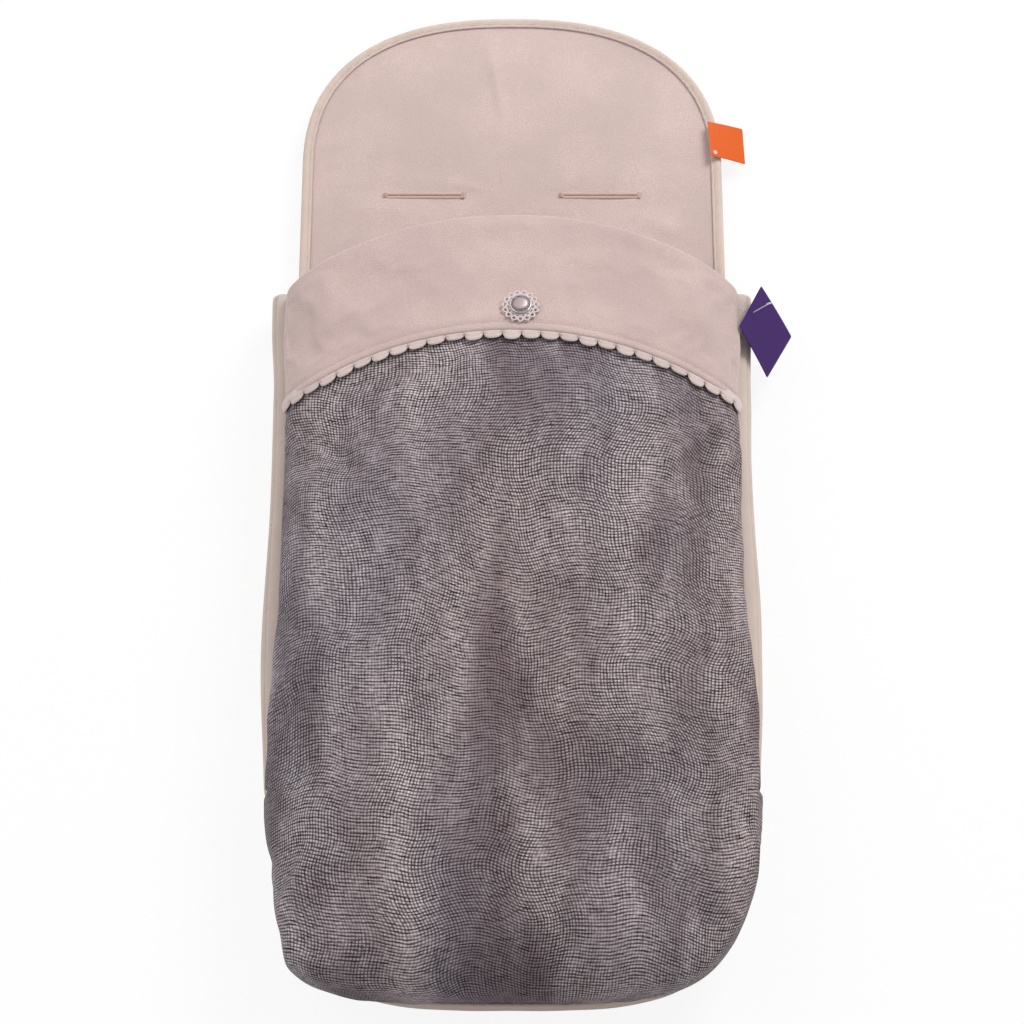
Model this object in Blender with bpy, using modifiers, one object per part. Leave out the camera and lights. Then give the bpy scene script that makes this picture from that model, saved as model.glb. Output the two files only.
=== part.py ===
"""A padded footmuff for a carrycot, lying on its back with the cover zipped shut.

The head end points along +Y, the cover faces up and the underside of the back panel is the
plane z = 0. All sizes are in metres.
"""

import math

import bmesh
import bpy
import numpy as np
from mathutils import Matrix, Vector

# Clearances
GAP = 0.0003  # between pieces that touch
FOLD_GAP = 0.0005  # between the toe box and the cover, where the cover folds
CUFF_LIFT = 0.0006  # between the cover and the cuff that lies on it

# Back panel
BACK_LENGTH = 0.900
BACK_WIDTH = 0.365
HEAD_ROUND = 0.150  # length over which the head end rounds off
FOOT_ROUND = 0.160  # length over which the foot end rounds off
HEAD_SQUARENESS = 2.5  # exponent of the head end's superellipse
FOOT_SQUARENESS = 3.5
CLOTH = 0.0015  # outer cloth with its backing
WADDING = 0.0132
PLUSH = 0.0025  # lining
BACK_CROWN = 0.005  # rise of the padded middle over its rim
CROWN_RUN = 0.055  # distance over which it rises, from the flat rim inwards
RIM_SPARE = 0.002  # flat rim left inside the toe box's walls
RIM_DRAW = 0.002  # how far the cloth is drawn in at the underside's rim
BINDING_WALL = 0.0018
BINDING_FACE = 0.0065  # width of binding that shows on the lining
BINDING_ROUND = 0.0008

# Harness slits
HARNESS_SLIT = 0.064
CROTCH_SLIT = 0.042
SLIT_WIDTH = 0.006
SLIT_BORDER = 0.004  # sewn border round each slit
SLIT_LIP = 0.0008  # height of the sewn border over the lining
HARNESS_SPACING = 0.154
HARNESS_Y = 0.269
CROTCH_Y = -0.070

# Cover
COVER_LENGTH = 0.443  # along the zip, from the fold to the mouth's corners
MOUTH_ARC = 0.053  # how far the mouth's middle reaches past its corners
FOLD_WIDTH = 0.391
MOUTH_WIDTH = 0.365
FOLD_HEIGHT = 0.118
MOUTH_HEIGHT = 0.096
CREST = 0.008  # rise of the stuffed cover between fold and mouth
FOLD_SHOULDER = 0.072  # height at which the cover is widest
MOUTH_SHOULDER = 0.064
DOME_SQUARENESS = 2.2
WALL_SQUARENESS = 1.1  # below the widest line, where the cover draws in to the zip
COVER_WADDING = 0.005
LAYER_PLAY = 0.0005  # between the layers of the cover and the toe box
WADDING_INSET = 0.003  # how far the wadding stays back from their edges
SEAM_SETBACK = 0.0085  # from the middle of the zip to the cover's lower edge
FOOT_BULGE = 0.006  # how far the toe box stands out past the back panel's foot
TOE_SQUARENESS = 3.5

# Cuff
CUFF_DEPTH = 0.122
CUFF_WALL = 0.006
LOBE_PITCH = 0.0152
LOBE_DROP = 0.0042
TRIM_BAND = 0.0016  # straight part of the trim below the cuff's edge
TRIM_WALL = 0.0012

# Button and press stud
BUTTON_X = 0.007
BUTTON_UP = 0.0215  # from the cuff's lower edge to the button's middle
CAP_WIDTH = 0.018
CAP_HEIGHT = 0.0042
ROSETTE_WIDTH = 0.0305
ROSETTE_WALL = 0.0015
ROSETTE_PLAY = 0.0009  # between the flat rosette and the curved cuff under it
PETALS = 14
PETAL_DEPTH = 0.0024
SHANK = 0.0026
SHANK_PLAY = 0.0003
SOCKET_WIDTH = 0.0116
SOCKET_BORE = 0.0058
SOCKET_WALL = 0.0016
STUD_WIDTH = 0.0046
STUD_FLANGE = 0.0108
STUD_PLATE = 0.0006
POCKET_DEPTH = 0.0036

# Side bands
BAND_BULGE = 0.0205  # past its foot at the mouth
BAND_FOLD_BULGE = 0.0125  # past its foot at the fold
BAND_TOP = 0.058
BAND_WALL = 0.0025
BAND_SLANT = 0.020  # how much further the band reaches at its lower edge, at the mouth
BAND_SQUARENESS = 2.6
BAND_FOOT = 0.001  # from the back panel's edge in to the band's foot
BAND_LIP = 0.5  # share of the bulge left at the band's inner lip

# Zips
CHAIN_INSET = 0.0015  # from the back panel's edge to the middle of the chain
ZIP_HEIGHT = 0.0461
TOOTH_PITCH = 0.0057
TOOTH_WALL = 0.0024
TOOTH_TIP = 0.0018
TOOTH_ROOT = 0.0026
TOOTH_REACH = 0.0008  # past the middle of the chain
SPINE_IN = 0.0018  # from the middle of the chain to the corded edge
SPINE_WIDTH = 0.0012
TAPE_WIDTH = 0.0125  # of the cover's tape
TAPE_WALL = 0.0007
TAPE_SETBACK = 0.004  # from the fold to the tape's end
CHAIN_SETBACK = 0.010  # from the mouth's corner to the chain's end
CHAIN_REST = 0.034  # from the fold to the chain's start, where the zip ends
STOP_LENGTH = 0.0022
STOP_IN = 0.0004  # from the middle of the chain to a stop

# Slider and pull
SLIDER_LENGTH = 0.013
SLIDER_FRONT = 0.0108
SLIDER_TAIL = 0.0088
SLIDER_PLATE = 0.0012
CHANNEL_PLAY = 0.0004
TAPE_PLAY = 0.0004
FLANGE_WALL = 0.0008
FLANGE_INSET = 0.0002
DIVIDER_INSET = 0.001
TONGUE = 0.0015  # from the slider's front to the ring's near side
TONGUE_WIDTH = 0.0019
RING_RISE = 0.0013  # of the ring's middle over the slider's upper plate
RING_RADIUS = 0.0020
RING_WIRE = 0.0006
PULL_LENGTH = 0.022
PULL_WIDTH = 0.006
PULL_WALL = 0.0011
PULL_PLAY = 0.0004  # between the pull and the row of teeth that it passes

# Swing tags
TAG_WALL = 0.0006
ORANGE_SIDE = 0.036
ORANGE_Y = 0.3245
ORANGE_INSET = 0.0083  # from the back panel's edge to the edge that the tag swings about
ORANGE_LIFT = 0.0068  # of that edge over the binding
ORANGE_SLOPE = math.radians(28)
ORANGE_TURN = math.radians(-3.0)
ORANGE_HOLE = 0.0042  # from the card's edges to the middle of its hole
BARB_HALF = 0.004  # half the bar that lies in the cloth
BARB_HEAD = (0.0019, 0.0007)  # radius and height of the head on the card
PURPLE_LEFT = (0.1896, 0.1105, 0.0768)  # corners of the edge that it swings about
PURPLE_TOP = (0.2096, 0.1534, 0.0640)
PURPLE_DROP = (0.0244, -0.0244, -0.0427)  # direction from that edge to the opposite one
PURPLE_LENGTH = 0.055
PURPLE_HOLE = (0, -0.0048)  # from the middle of that edge
FASTENER_IN = 0.6  # where it leaves the cuff: share of the way from its side edge to the next line
PADDLE = (0.0056, 0.0024, 0.0010)
PADDLE_END = (0.2155, 0.1313, 0.0800)
TAG_HOLE = 0.0030
FILAMENT = 0.0010
BARB_RADIUS = 0.00055

BACK_HALF = BACK_WIDTH / 2
HEAD_Y = BACK_LENGTH / 2 - HEAD_ROUND
FOLD_Y = -BACK_LENGTH / 2 + FOOT_ROUND
MOUTH_Y = FOLD_Y + COVER_LENGTH
RIM_TOP = CLOTH + GAP + WADDING + GAP + PLUSH
SEAT = RIM_TOP + GAP
BINDING_TOP = SEAT + BINDING_WALL
COVER_DEPTH = CLOTH + COVER_WADDING + PLUSH + 2 * LAYER_PLAY
HEM = COVER_DEPTH / 2
RIM_FLAT = COVER_DEPTH + RIM_SPARE
BAND_FOOT_X = BACK_HALF - BAND_FOOT
CHAIN_X = BACK_HALF - CHAIN_INSET
CHAIN_END = MOUTH_Y - CHAIN_SETBACK
TEETH = round((CHAIN_END - FOLD_Y - CHAIN_REST) / TOOTH_PITCH)
CHAIN_START = CHAIN_END - TEETH * TOOTH_PITCH
SEAM_X = CHAIN_X - SEAM_SETBACK
SEAM_Z = ZIP_HEIGHT + TAPE_WALL / 2 + GAP
CHANNEL = TOOTH_WALL / 2 + CHANNEL_PLAY
SLIDER_HALF = SLIDER_LENGTH / 2
DIVIDER_Y = SLIDER_HALF / 3  # from the slider's middle to its divider
SLIDER_Y = CHAIN_END + GAP - DIVIDER_Y
NOSE = SLIDER_HALF + TONGUE
PULL_Y = SLIDER_Y + NOSE + RING_RADIUS
PLATE_LEVEL = CHANNEL + SLIDER_PLATE / 2
PULL_Z = ZIP_HEIGHT + PLATE_LEVEL + RING_RISE
PULL_INSET = TOOTH_REACH + PULL_PLAY + PULL_WIDTH / 2
STOP_Y = SLIDER_Y + SLIDER_HALF + GAP
ROUND_STEPS = 19  # points round the head end, and round the foot
WELD = 1e-6
SLOPE_STEP = 0.01  # step along the cover over which its slope is taken
DOME_COLUMNS = np.linspace(-1, 1, 19)
COVER_ROWS = 10
CUFF_ROWS = 6
HEM_END = 1.7  # where the hem stops, on the scale from 1 at the widest line to 2 at the zip
COVER_COLUMNS = np.array([-2, -5 / 3, -4 / 3, *DOME_COLUMNS, 4 / 3, 5 / 3, 2])
LAYERS = (  # name, depth below the outer face, thickness, finish and how far it stays back
    ("shell", 0.0, CLOTH, "print", 0.0),
    ("wadding", CLOTH + LAYER_PLAY, COVER_WADDING, "wadding", WADDING_INSET),
    ("lining", CLOTH + COVER_WADDING + 2 * LAYER_PLAY, PLUSH, "plush", 0.0),
)
FILL_SCALE = 1000  # flat outlines are filled at this scale, where the filling is exact

COVER_AXIS = Vector((0, FOLD_Y, FOLD_HEIGHT))
CUFF_AXIS = Vector((0, MOUTH_Y + MOUTH_ARC - HEM, MOUTH_HEIGHT - HEM))
CUFF_EDGE_Y = MOUTH_Y + MOUTH_ARC - CUFF_DEPTH
BUTTON_Y = CUFF_EDGE_Y + BUTTON_UP

COLOURS = {
    "cream": ((0.60, 0.49, 0.42), 0.85, 0.0),
    "plush": ((0.65, 0.50, 0.47), 0.95, 0.0),
    "print": ((0.20, 0.16, 0.17), 0.70, 0.0),
    "wadding": ((0.85, 0.85, 0.82), 0.95, 0.0),
    "lace": ((0.80, 0.76, 0.74), 0.85, 0.0),
    "silver": ((0.62, 0.60, 0.61), 0.25, 1.0),
    "zip": ((0.62, 0.55, 0.48), 0.60, 0.0),
    "orange": ((0.87, 0.15, 0.02), 0.50, 0.0),
    "purple": ((0.05, 0.014, 0.14), 0.45, 0.0),
    "clear": ((0.80, 0.80, 0.80), 0.30, 0.0),
}


def material(name):
    """The named finish, made once."""
    made = bpy.data.materials.get(name)
    if made:
        return made
    made = bpy.data.materials.new(name)
    made.use_nodes = True
    shader = made.node_tree.nodes["Principled BSDF"]
    colour, roughness, metallic = COLOURS[name]
    shader.inputs["Base Color"].default_value = (*colour, 1)
    shader.inputs["Roughness"].default_value = roughness
    shader.inputs["Metallic"].default_value = metallic
    made.diffuse_color = (*colour, 1)
    return made


def collection(name, hidden=False):
    made = bpy.data.collections.new(name)
    bpy.context.scene.collection.children.link(made)
    made.hide_render = hidden
    return made


def clear_scene():
    for obj in list(bpy.data.objects):
        bpy.data.objects.remove(obj)


# Making and finishing objects


def add_object(name, data, finish, carrier=None):
    """An object in the footmuff's collection, carried by an empty that stands on its joint's axis."""
    obj = bpy.data.objects.new(name, data)
    PARTS.objects.link(obj)
    data.materials.append(material(finish))
    if carrier:
        obj.parent = carrier
        obj.location = -Vector(carrier["place"])
    return obj


def joint_empty(name, place, carrier=None):
    """An empty on a joint's axis, at a place in the footmuff's own frame."""
    empty = bpy.data.objects.new(name, None)
    PARTS.objects.link(empty)
    empty.empty_display_size = 0.03
    empty["place"] = tuple(place)
    empty.location = Vector(place)
    if carrier:
        empty.parent = carrier
        empty.location -= Vector(carrier["place"])
    return empty


def mesh_of(name, points, faces):
    mesh = bpy.data.meshes.new(name)
    mesh.from_pydata([tuple(map(float, p)) for p in points], [], faces)
    mesh.validate()
    return mesh


def smooth(mesh, angle=35):
    mesh.shade_smooth()
    mesh.set_sharp_from_angle(angle=math.radians(angle))
    return mesh


def baked(obj, name, weld=WELD):
    """The evaluated mesh of an object, welded, which then replaces it."""
    graph = bpy.context.evaluated_depsgraph_get()
    graph.update()
    mesh = bpy.data.meshes.new_from_object(obj.evaluated_get(graph))
    mesh.name = name
    mesh.transform(obj.matrix_world)
    welded = bmesh.new()
    welded.from_mesh(mesh)
    bmesh.ops.remove_doubles(welded, verts=welded.verts, dist=weld)
    welded.to_mesh(mesh)
    welded.free()
    mesh.materials.clear()
    bpy.data.objects.remove(obj)
    return mesh


def helper(name, mesh):
    """A cutter or other guide, left out of the footmuff itself."""
    obj = bpy.data.objects.new(name, mesh)
    CUTTERS.objects.link(obj)
    obj.hide_render = True
    obj.display_type = "WIRE"
    return obj


def boolean(obj, other, operation="DIFFERENCE"):
    modifier = obj.modifiers.new(other.name, "BOOLEAN")
    modifier.operation = operation
    modifier.solver = "EXACT"
    modifier.object = other


def thicken(obj, wall):
    """A wall grown inwards from an open surface whose faces point out."""
    modifier = obj.modifiers.new("wall", "SOLIDIFY")
    modifier.thickness = wall
    modifier.offset = -1
    modifier.use_even_offset = True
    modifier.use_rim = True


def turns_clockwise(outline):
    x, y = np.array(outline, dtype=float).T
    return np.sum(x * np.roll(y, -1) - y * np.roll(x, -1)) < 0


def flat_curve(name, outlines, thickness, middle):
    """A filled flat outline, with holes, as a mesh from middle - thickness / 2 up."""
    curve = bpy.data.curves.new(name, "CURVE")
    curve.dimensions = "2D"
    curve.fill_mode = "BOTH"
    curve.extrude = thickness / 2 * FILL_SCALE
    for outline in outlines:
        if turns_clockwise(outline):
            outline = outline[::-1]
        spline = curve.splines.new("POLY")
        spline.points.add(len(outline) - 1)
        for point, (x, y) in zip(spline.points, outline):
            point.co = (float(x) * FILL_SCALE, float(y) * FILL_SCALE, 0, 1)
        spline.use_cyclic_u = True
    obj = bpy.data.objects.new(name, curve)
    bpy.context.scene.collection.objects.link(obj)
    bpy.context.view_layer.update()
    mesh = baked(obj, name, WELD * FILL_SCALE)
    mesh.transform(Matrix.Translation((0, 0, middle)) @ Matrix.Scale(1 / FILL_SCALE, 4))
    return mesh


def tube(name, points, radius, rounding=2):
    """A tube along a smooth run of points, with closed ends, as a mesh."""
    curve = bpy.data.curves.new(name, "CURVE")
    curve.dimensions = "3D"
    curve.bevel_depth = radius
    curve.bevel_resolution = rounding
    curve.use_fill_caps = True
    spline = curve.splines.new("POLY")
    spline.points.add(len(points) - 1)
    for point, place in zip(spline.points, points):
        point.co = (*map(float, place), 1)
    obj = bpy.data.objects.new(name, curve)
    bpy.context.scene.collection.objects.link(obj)
    bpy.context.view_layer.update()
    return baked(obj, name)


def turned(name, profile, steps=24):
    """A profile of (radius, height) points, top to bottom, turned about Z."""
    mesh = mesh_of(name, [(r, 0, z) for r, z in profile], [])
    mesh.edges.add(len(profile) - 1)
    for index, edge in enumerate(mesh.edges):
        edge.vertices = (index, index + 1)
    obj = bpy.data.objects.new(name, mesh)
    bpy.context.scene.collection.objects.link(obj)
    screw = obj.modifiers.new("turn", "SCREW")
    screw.steps = steps
    screw.render_steps = steps
    screw.use_merge_vertices = True
    screw.merge_threshold = WELD
    screw.use_normal_calculate = True
    bpy.context.view_layer.update()
    return smooth(facing_out(baked(obj, name)))


def facing_out(mesh):
    shape = bmesh.new()
    shape.from_mesh(mesh)
    bmesh.ops.recalc_face_normals(shape, faces=shape.faces)
    shape.to_mesh(mesh)
    shape.free()
    return mesh


def box(name, low, high):
    """A box between two corners, from a cube."""
    shape = bmesh.new()
    bmesh.ops.create_cube(shape, size=1)
    size = [b - a for a, b in zip(low, high)]
    middle = [(a + b) / 2 for a, b in zip(low, high)]
    bmesh.ops.scale(shape, vec=size, verts=shape.verts)
    bmesh.ops.translate(shape, vec=middle, verts=shape.verts)
    mesh = bpy.data.meshes.new(name)
    shape.to_mesh(mesh)
    shape.free()
    return mesh


def united(name, meshes):
    """One closed mesh from meshes that overlap."""
    base = helper(name, meshes[0])
    others = [helper(f"{name} piece", mesh) for mesh in meshes[1:]]
    for other in others:
        boolean(base, other, "UNION")
    bpy.context.view_layer.update()
    mesh = baked(base, name)
    for other in others:
        bpy.data.objects.remove(other)
    return mesh


# Surfaces and outlines


def superellipse(angles, across, along, exponent):
    """Points at across * cos^(2/n), along * sin^(2/n), with the signs kept."""
    share = 2 / exponent
    cosine, sine = np.cos(angles), np.sin(angles)
    x = across * np.sign(cosine) * np.abs(cosine) ** share
    y = along * np.sign(sine) * np.abs(sine) ** share
    return x, y


def end_outline(across, along, exponent):
    """Half a superellipse from +X round to -X, with its outward normals."""
    angles = np.linspace(0, np.pi, ROUND_STEPS)
    x, y = superellipse(angles, across, along, exponent)
    normal_x = np.sign(x) * np.abs(x / across) ** (exponent - 1) / across
    normal_y = np.abs(y / along) ** (exponent - 1) / along
    normals = np.column_stack([normal_x, normal_y])
    normals /= np.linalg.norm(normals, axis=1)[:, None]
    return np.column_stack([x, y]), normals


def back_outline(inset=0.0):
    """The back panel's outline, counter-clockwise from its right side, drawn in by inset."""
    head, head_normals = end_outline(BACK_HALF, HEAD_ROUND, HEAD_SQUARENESS)
    foot, foot_normals = end_outline(BACK_HALF, FOOT_ROUND, FOOT_SQUARENESS)
    head = head + (0, HEAD_Y)
    foot = -foot + (0, FOLD_Y)
    points = np.vstack([head, foot])
    normals = np.vstack([head_normals, -foot_normals])
    return points - inset * normals


def ring_loft(rings, close_first, close_last):
    """Outlines of equal length, each with its height, joined into bands of faces."""
    count = len(rings[0][0])
    points = [(x, y, z) for outline, z in rings for x, y in outline]
    faces = []
    for ring in range(len(rings) - 1):
        for i in range(count):
            j = (i + 1) % count
            low = ring * count
            faces.append((low + i, low + j, low + count + j, low + count + i))
    if close_first:
        faces.append(tuple(reversed(range(count))))
    if close_last:
        faces.append(tuple(range((len(rings) - 1) * count, len(rings) * count)))
    return points, faces


def grid_faces(rows, columns, first=0):
    """Faces of a grid whose rows run along +Y and columns along +X, facing up."""
    corners = [first + j * columns + i for j in range(rows - 1) for i in range(columns - 1)]
    return [(a, a + 1, a + columns + 1, a + columns) for a in corners]


def grid_surface(name, grid, flip=False):
    faces = grid_faces(*grid.shape[:2])
    if flip:
        faces = [face[::-1] for face in faces]
    return mesh_of(name, grid.reshape(-1, 3), faces)


def wall_between(name, outer, inner, faces):
    """A closed wall between two surfaces of like points: both of them, and the rim.

    Faces are split on the same diagonal throughout, so that walls with a gap between them nest.
    """
    count = len(outer)
    faces = [(face[0], face[i], face[i + 1]) for face in faces for i in range(1, len(face) - 1)]
    edges = {(face[i - 1], face[i]) for face in faces for i in range(len(face))}
    rim = sorted((b, a, a + count, b + count) for a, b in edges if (b, a) not in edges)
    inside = [tuple(i + count for i in reversed(face)) for face in faces]
    return smooth(mesh_of(name, [*outer, *inner], [*faces, *inside, *rim]), 60)


def grid_normals(grid, flip=False):
    """Unit normals of a grid of points, from the steps to its neighbours."""
    across = np.gradient(grid, axis=1)
    along = np.gradient(grid, axis=0)
    normals = np.cross(across, along)
    normals /= np.linalg.norm(normals, axis=2)[..., None]
    return -normals if flip else normals


def crown(inset):
    """Rise of the padded back at a distance from its rim, eased at both ends."""
    share = np.clip((inset - RIM_FLAT) / CROWN_RUN, 0, 1)
    return BACK_CROWN * share * share * (3 - 2 * share)


def cover_section(across, y):
    """Points of the cover's outer face.

    across runs from -2 to 2: up to 1 it is the dome, a superellipse from crest to widest line,
    and past 1 the wall that draws in to the zip.
    """
    side_run = np.clip((y - FOLD_Y) / COVER_LENGTH, 0, 1)
    run = (y - FOLD_Y) / (COVER_LENGTH + MOUTH_ARC)
    half = (FOLD_WIDTH - (FOLD_WIDTH - MOUTH_WIDTH) * side_run**1.5) / 2
    shoulder = FOLD_SHOULDER + (MOUTH_SHOULDER - FOLD_SHOULDER) * side_run
    top = FOLD_HEIGHT + CREST * np.sin(np.pi * run) - (FOLD_HEIGHT - MOUTH_HEIGHT) * run**4
    angle = np.clip(np.abs(across), 0, 1) * np.pi / 2
    rise, reach = superellipse(angle, top - shoulder, half, DOME_SQUARENESS)
    down = np.clip(np.abs(across) - 1, 0, 1)
    wall = SEAM_X + (half - SEAM_X) * (1 - down**WALL_SQUARENESS) ** (1 / WALL_SQUARENESS)
    x = np.where(np.abs(across) > 1, wall, reach) * np.sign(across)
    z = shoulder + rise - (shoulder - SEAM_Z) * down
    return np.stack([x, y + 0 * x, z], axis=-1)


def mouth_line(across):
    """How far the cover reaches along Y at a place across it: an arc between the corners."""
    angle = np.clip(np.abs(across), 0, 1) * np.pi / 2
    share = np.sin(angle) ** (4 / DOME_SQUARENESS)
    return MOUTH_Y + MOUTH_ARC * (1 - share)


def draw_in(edge, near, inset):
    """Move the points of an edge by a distance towards the points next to them, in place."""
    step = near - edge
    edge += inset * step / np.linalg.norm(step, axis=-1)[..., None]


def cover_grid(depth, inset):
    """The cover's face at a depth below its outer side, its four edges drawn in by inset."""
    across, share = np.meshgrid(COVER_COLUMNS, np.linspace(0, 1, COVER_ROWS))
    low = FOLD_Y + FOLD_GAP
    high = mouth_line(across) - 2 * HEM - GAP
    outer = cover_section(across, low + share * (high - low))
    grid = outer - depth * grid_normals(outer)
    draw_in(grid[0], grid[1], inset)
    draw_in(grid[-1], grid[-2], inset)
    draw_in(grid[:, 0], grid[:, 1], inset)
    draw_in(grid[:, -1], grid[:, -2], inset)
    return grid


# The back panel


def stadium(length, width, count=6):
    """A slot's outline: two straight sides and round ends, counter-clockwise."""
    radius = width / 2
    straight = length / 2 - radius
    right = np.linspace(-np.pi / 2, np.pi / 2, count)
    left = right + np.pi
    ends = [(straight + radius * math.cos(a), radius * math.sin(a)) for a in right]
    ends += [(-straight + radius * math.cos(a), radius * math.sin(a)) for a in left]
    return ends


def slit_places():
    """Name, middle and length of each slit through the back panel."""
    yield "harness_slit_left", (-HARNESS_SPACING / 2, HARNESS_Y), HARNESS_SLIT
    yield "harness_slit_right", (HARNESS_SPACING / 2, HARNESS_Y), HARNESS_SLIT
    yield "crotch_slit", (0, CROTCH_Y), CROTCH_SLIT


def slit_cutters():
    """Slots with room for the sewn borders, longer than the panel is thick."""
    cutters = []
    for name, (x, y), length in slit_places():
        border = 2 * (SLIT_BORDER + GAP)
        outline = stadium(length + border, SLIT_WIDTH + border)
        tall = 3 * (RIM_TOP + BACK_CROWN)
        mesh = flat_curve(f"{name}_cut", [outline], tall, 0)
        cutter = helper(f"{name}_cut", mesh)
        cutter.location = (x, y, 0)
        cutters.append(cutter)
    return cutters


def slit_borders():
    height = RIM_TOP + BACK_CROWN + SLIT_LIP - GAP
    for name, (x, y), length in slit_places():
        outer = stadium(length + 2 * SLIT_BORDER, SLIT_WIDTH + 2 * SLIT_BORDER)
        inner = stadium(length, SLIT_WIDTH)
        mesh = flat_curve(f"{name}_border", [outer, inner], height, GAP + height / 2)
        border = add_object(f"{name}_border", mesh, "plush")
        border.location = (x, y, 0)


def back_panel():
    """Outer cloth as a tray, wadding in it and the lining over it, cut through at the slits."""
    cutters = slit_cutters()
    wall_top = CLOTH + GAP + WADDING
    tray = [
        (back_outline(RIM_DRAW), 0.0),
        (back_outline(), RIM_DRAW),
        (back_outline(), wall_top),
    ]
    points, faces = ring_loft(tray, True, False)
    shell = add_object("back_shell", mesh_of("back_shell", points, faces), "cream")
    thicken(shell, CLOTH)

    base = CLOTH + GAP
    side = CLOTH + GAP
    insets = RIM_FLAT + CROWN_RUN * np.linspace(0, 1, 4)
    rings = [
        (back_outline(side + RIM_DRAW), base),
        (back_outline(side), base + RIM_DRAW),
        (back_outline(side), base + WADDING - RIM_DRAW),
    ]
    rings += [(back_outline(side + inset), base + WADDING + crown(inset)) for inset in insets]
    points, faces = ring_loft(rings, True, True)
    wadding = add_object("back_wadding", mesh_of("back_wadding", points, faces), "wadding")

    rings = [(back_outline(), RIM_TOP)]
    rings += [(back_outline(side + inset), RIM_TOP + crown(inset)) for inset in insets]
    points, faces = ring_loft(rings, False, True)
    lining = add_object("back_lining", mesh_of("back_lining", points, faces), "plush")
    thicken(lining, PLUSH)
    for piece in (shell, wadding, lining):
        smooth(piece.data)
        for cutter in cutters:
            boolean(piece, cutter)
    slit_borders()


def head_binding():
    """A folded strip over the rim, from one side band round the head end to the other."""
    start = MOUTH_Y + BAND_SLANT + GAP
    straight = np.array([(BACK_HALF, start), (BACK_HALF, (start + HEAD_Y) / 2)])
    head, normals = end_outline(BACK_HALF, HEAD_ROUND, HEAD_SQUARENESS)
    head = head + (0, HEAD_Y)
    points = np.vstack([straight, head, straight[::-1] * (-1, 1)])
    sideways = np.array([(1.0, 0.0), (1.0, 0.0)])
    normals = np.vstack([sideways, normals, sideways * (-1, 1)])
    out = GAP + BINDING_WALL
    top = BINDING_TOP
    edge = BINDING_ROUND
    profile = [(-BINDING_FACE, top), (out - edge, top), (out, top - edge), (out, 2 * RIM_DRAW)]
    rows = []
    for shift, z in profile:
        height = np.full(len(points), z)
        rows.append(np.column_stack([points + shift * normals, height]))
    mesh = grid_surface("head_binding", np.array(rows), flip=True)
    binding = add_object("head_binding", smooth(mesh, 60), "cream")
    thicken(binding, BINDING_WALL)


# Side bands and toe box


def side_bands():
    """Padded bands that bulge out from the back panel's edge and end in a lip beside the zip.

    Their section is a superellipse, flatter at the fold, and their mouth end slants.
    """
    half = (BAND_TOP - SEAT) / 2
    last = math.acos(BAND_LIP ** (BAND_SQUARENESS / 2))
    angles = np.linspace(-math.pi / 2, last, 11)
    bulge, rise = superellipse(angles, 1, half, BAND_SQUARENESS)
    height = (rise + half) / (2 * half)
    fold_end = np.full(len(angles), FOLD_Y + GAP)
    mouth_end = MOUTH_Y + BAND_SLANT * (1 - height)
    for side, name in ((-1, "side_band_left"), (1, "side_band_right")):
        rows = []
        for reach, end in ((BAND_FOLD_BULGE, fold_end), (BAND_BULGE, mouth_end)):
            x = side * (BAND_FOOT_X + reach * bulge)
            rows.append(np.column_stack([x, end, SEAT + half + rise]))
        mesh = grid_surface(name, np.array(rows), flip=side > 0)
        band = add_object(name, smooth(mesh, 60), "cream")
        thicken(band, BAND_WALL)


def toe_grid(depth, inset):
    """The toe box's face, in rings from its crest outwards, from the left side round the foot.

    Over the crest each ring is the widest outline drawn in by sin^(2/n) and raised by
    cos^(2/n). Below the widest line the wall draws in to the back panel's outline.
    """
    around = np.linspace(0, np.pi, ROUND_STEPS)
    wide_x, wide_y = superellipse(around, FOLD_WIDTH / 2, FOOT_ROUND + FOOT_BULGE, TOE_SQUARENESS)
    base_x, base_y = superellipse(around, BACK_HALF, FOOT_ROUND, FOOT_SQUARENESS)
    rings = []
    for angle in np.linspace(0, np.pi / 2, 8)[1:]:
        rise, share = superellipse(np.array(angle), FOLD_HEIGHT - FOLD_SHOULDER, 1, DOME_SQUARENESS)
        height = np.full(len(around), FOLD_SHOULDER + rise)
        rings.append(np.column_stack([-share * wide_x, FOLD_Y - share * wide_y, height]))
    for down in (0.3, 0.6, 0.85, 1.0):
        share = 1 - down**3
        x = base_x + share * (wide_x - base_x)
        y = base_y + share * (wide_y - base_y)
        height = np.full(len(around), FOLD_SHOULDER - down * (FOLD_SHOULDER - SEAT))
        rings.append(np.column_stack([-x, FOLD_Y - y, height]))
    outer = np.array(rings)
    grid = outer - depth * grid_normals(outer, flip=True)
    grid[..., 1] = np.minimum(grid[..., 1], FOLD_Y)
    grid[-1, :, 2] = SEAT
    draw_in(grid[-1], grid[-2], inset)
    return grid


def toe_box():
    """The fixed foot end of the cover: outer cloth, wadding and lining, each a closed wall."""
    for name, depth, wall, finish, inset in LAYERS:
        outer, inner = toe_grid(depth, inset), toe_grid(depth + wall, inset)
        rings, columns = outer.shape[:2]
        faces = [(0, 1 + i, 2 + i) for i in range(columns - 1)]
        faces += [face[::-1] for face in grid_faces(rings, columns, 1)]
        outer = [(0, FOLD_Y, FOLD_HEIGHT - depth), *outer.reshape(-1, 3)]
        inner = [(0, FOLD_Y, FOLD_HEIGHT - depth - wall), *inner.reshape(-1, 3)]
        add_object(f"toe_{name}", wall_between(f"toe_{name}", outer, inner, faces), finish)


# The cover


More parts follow.
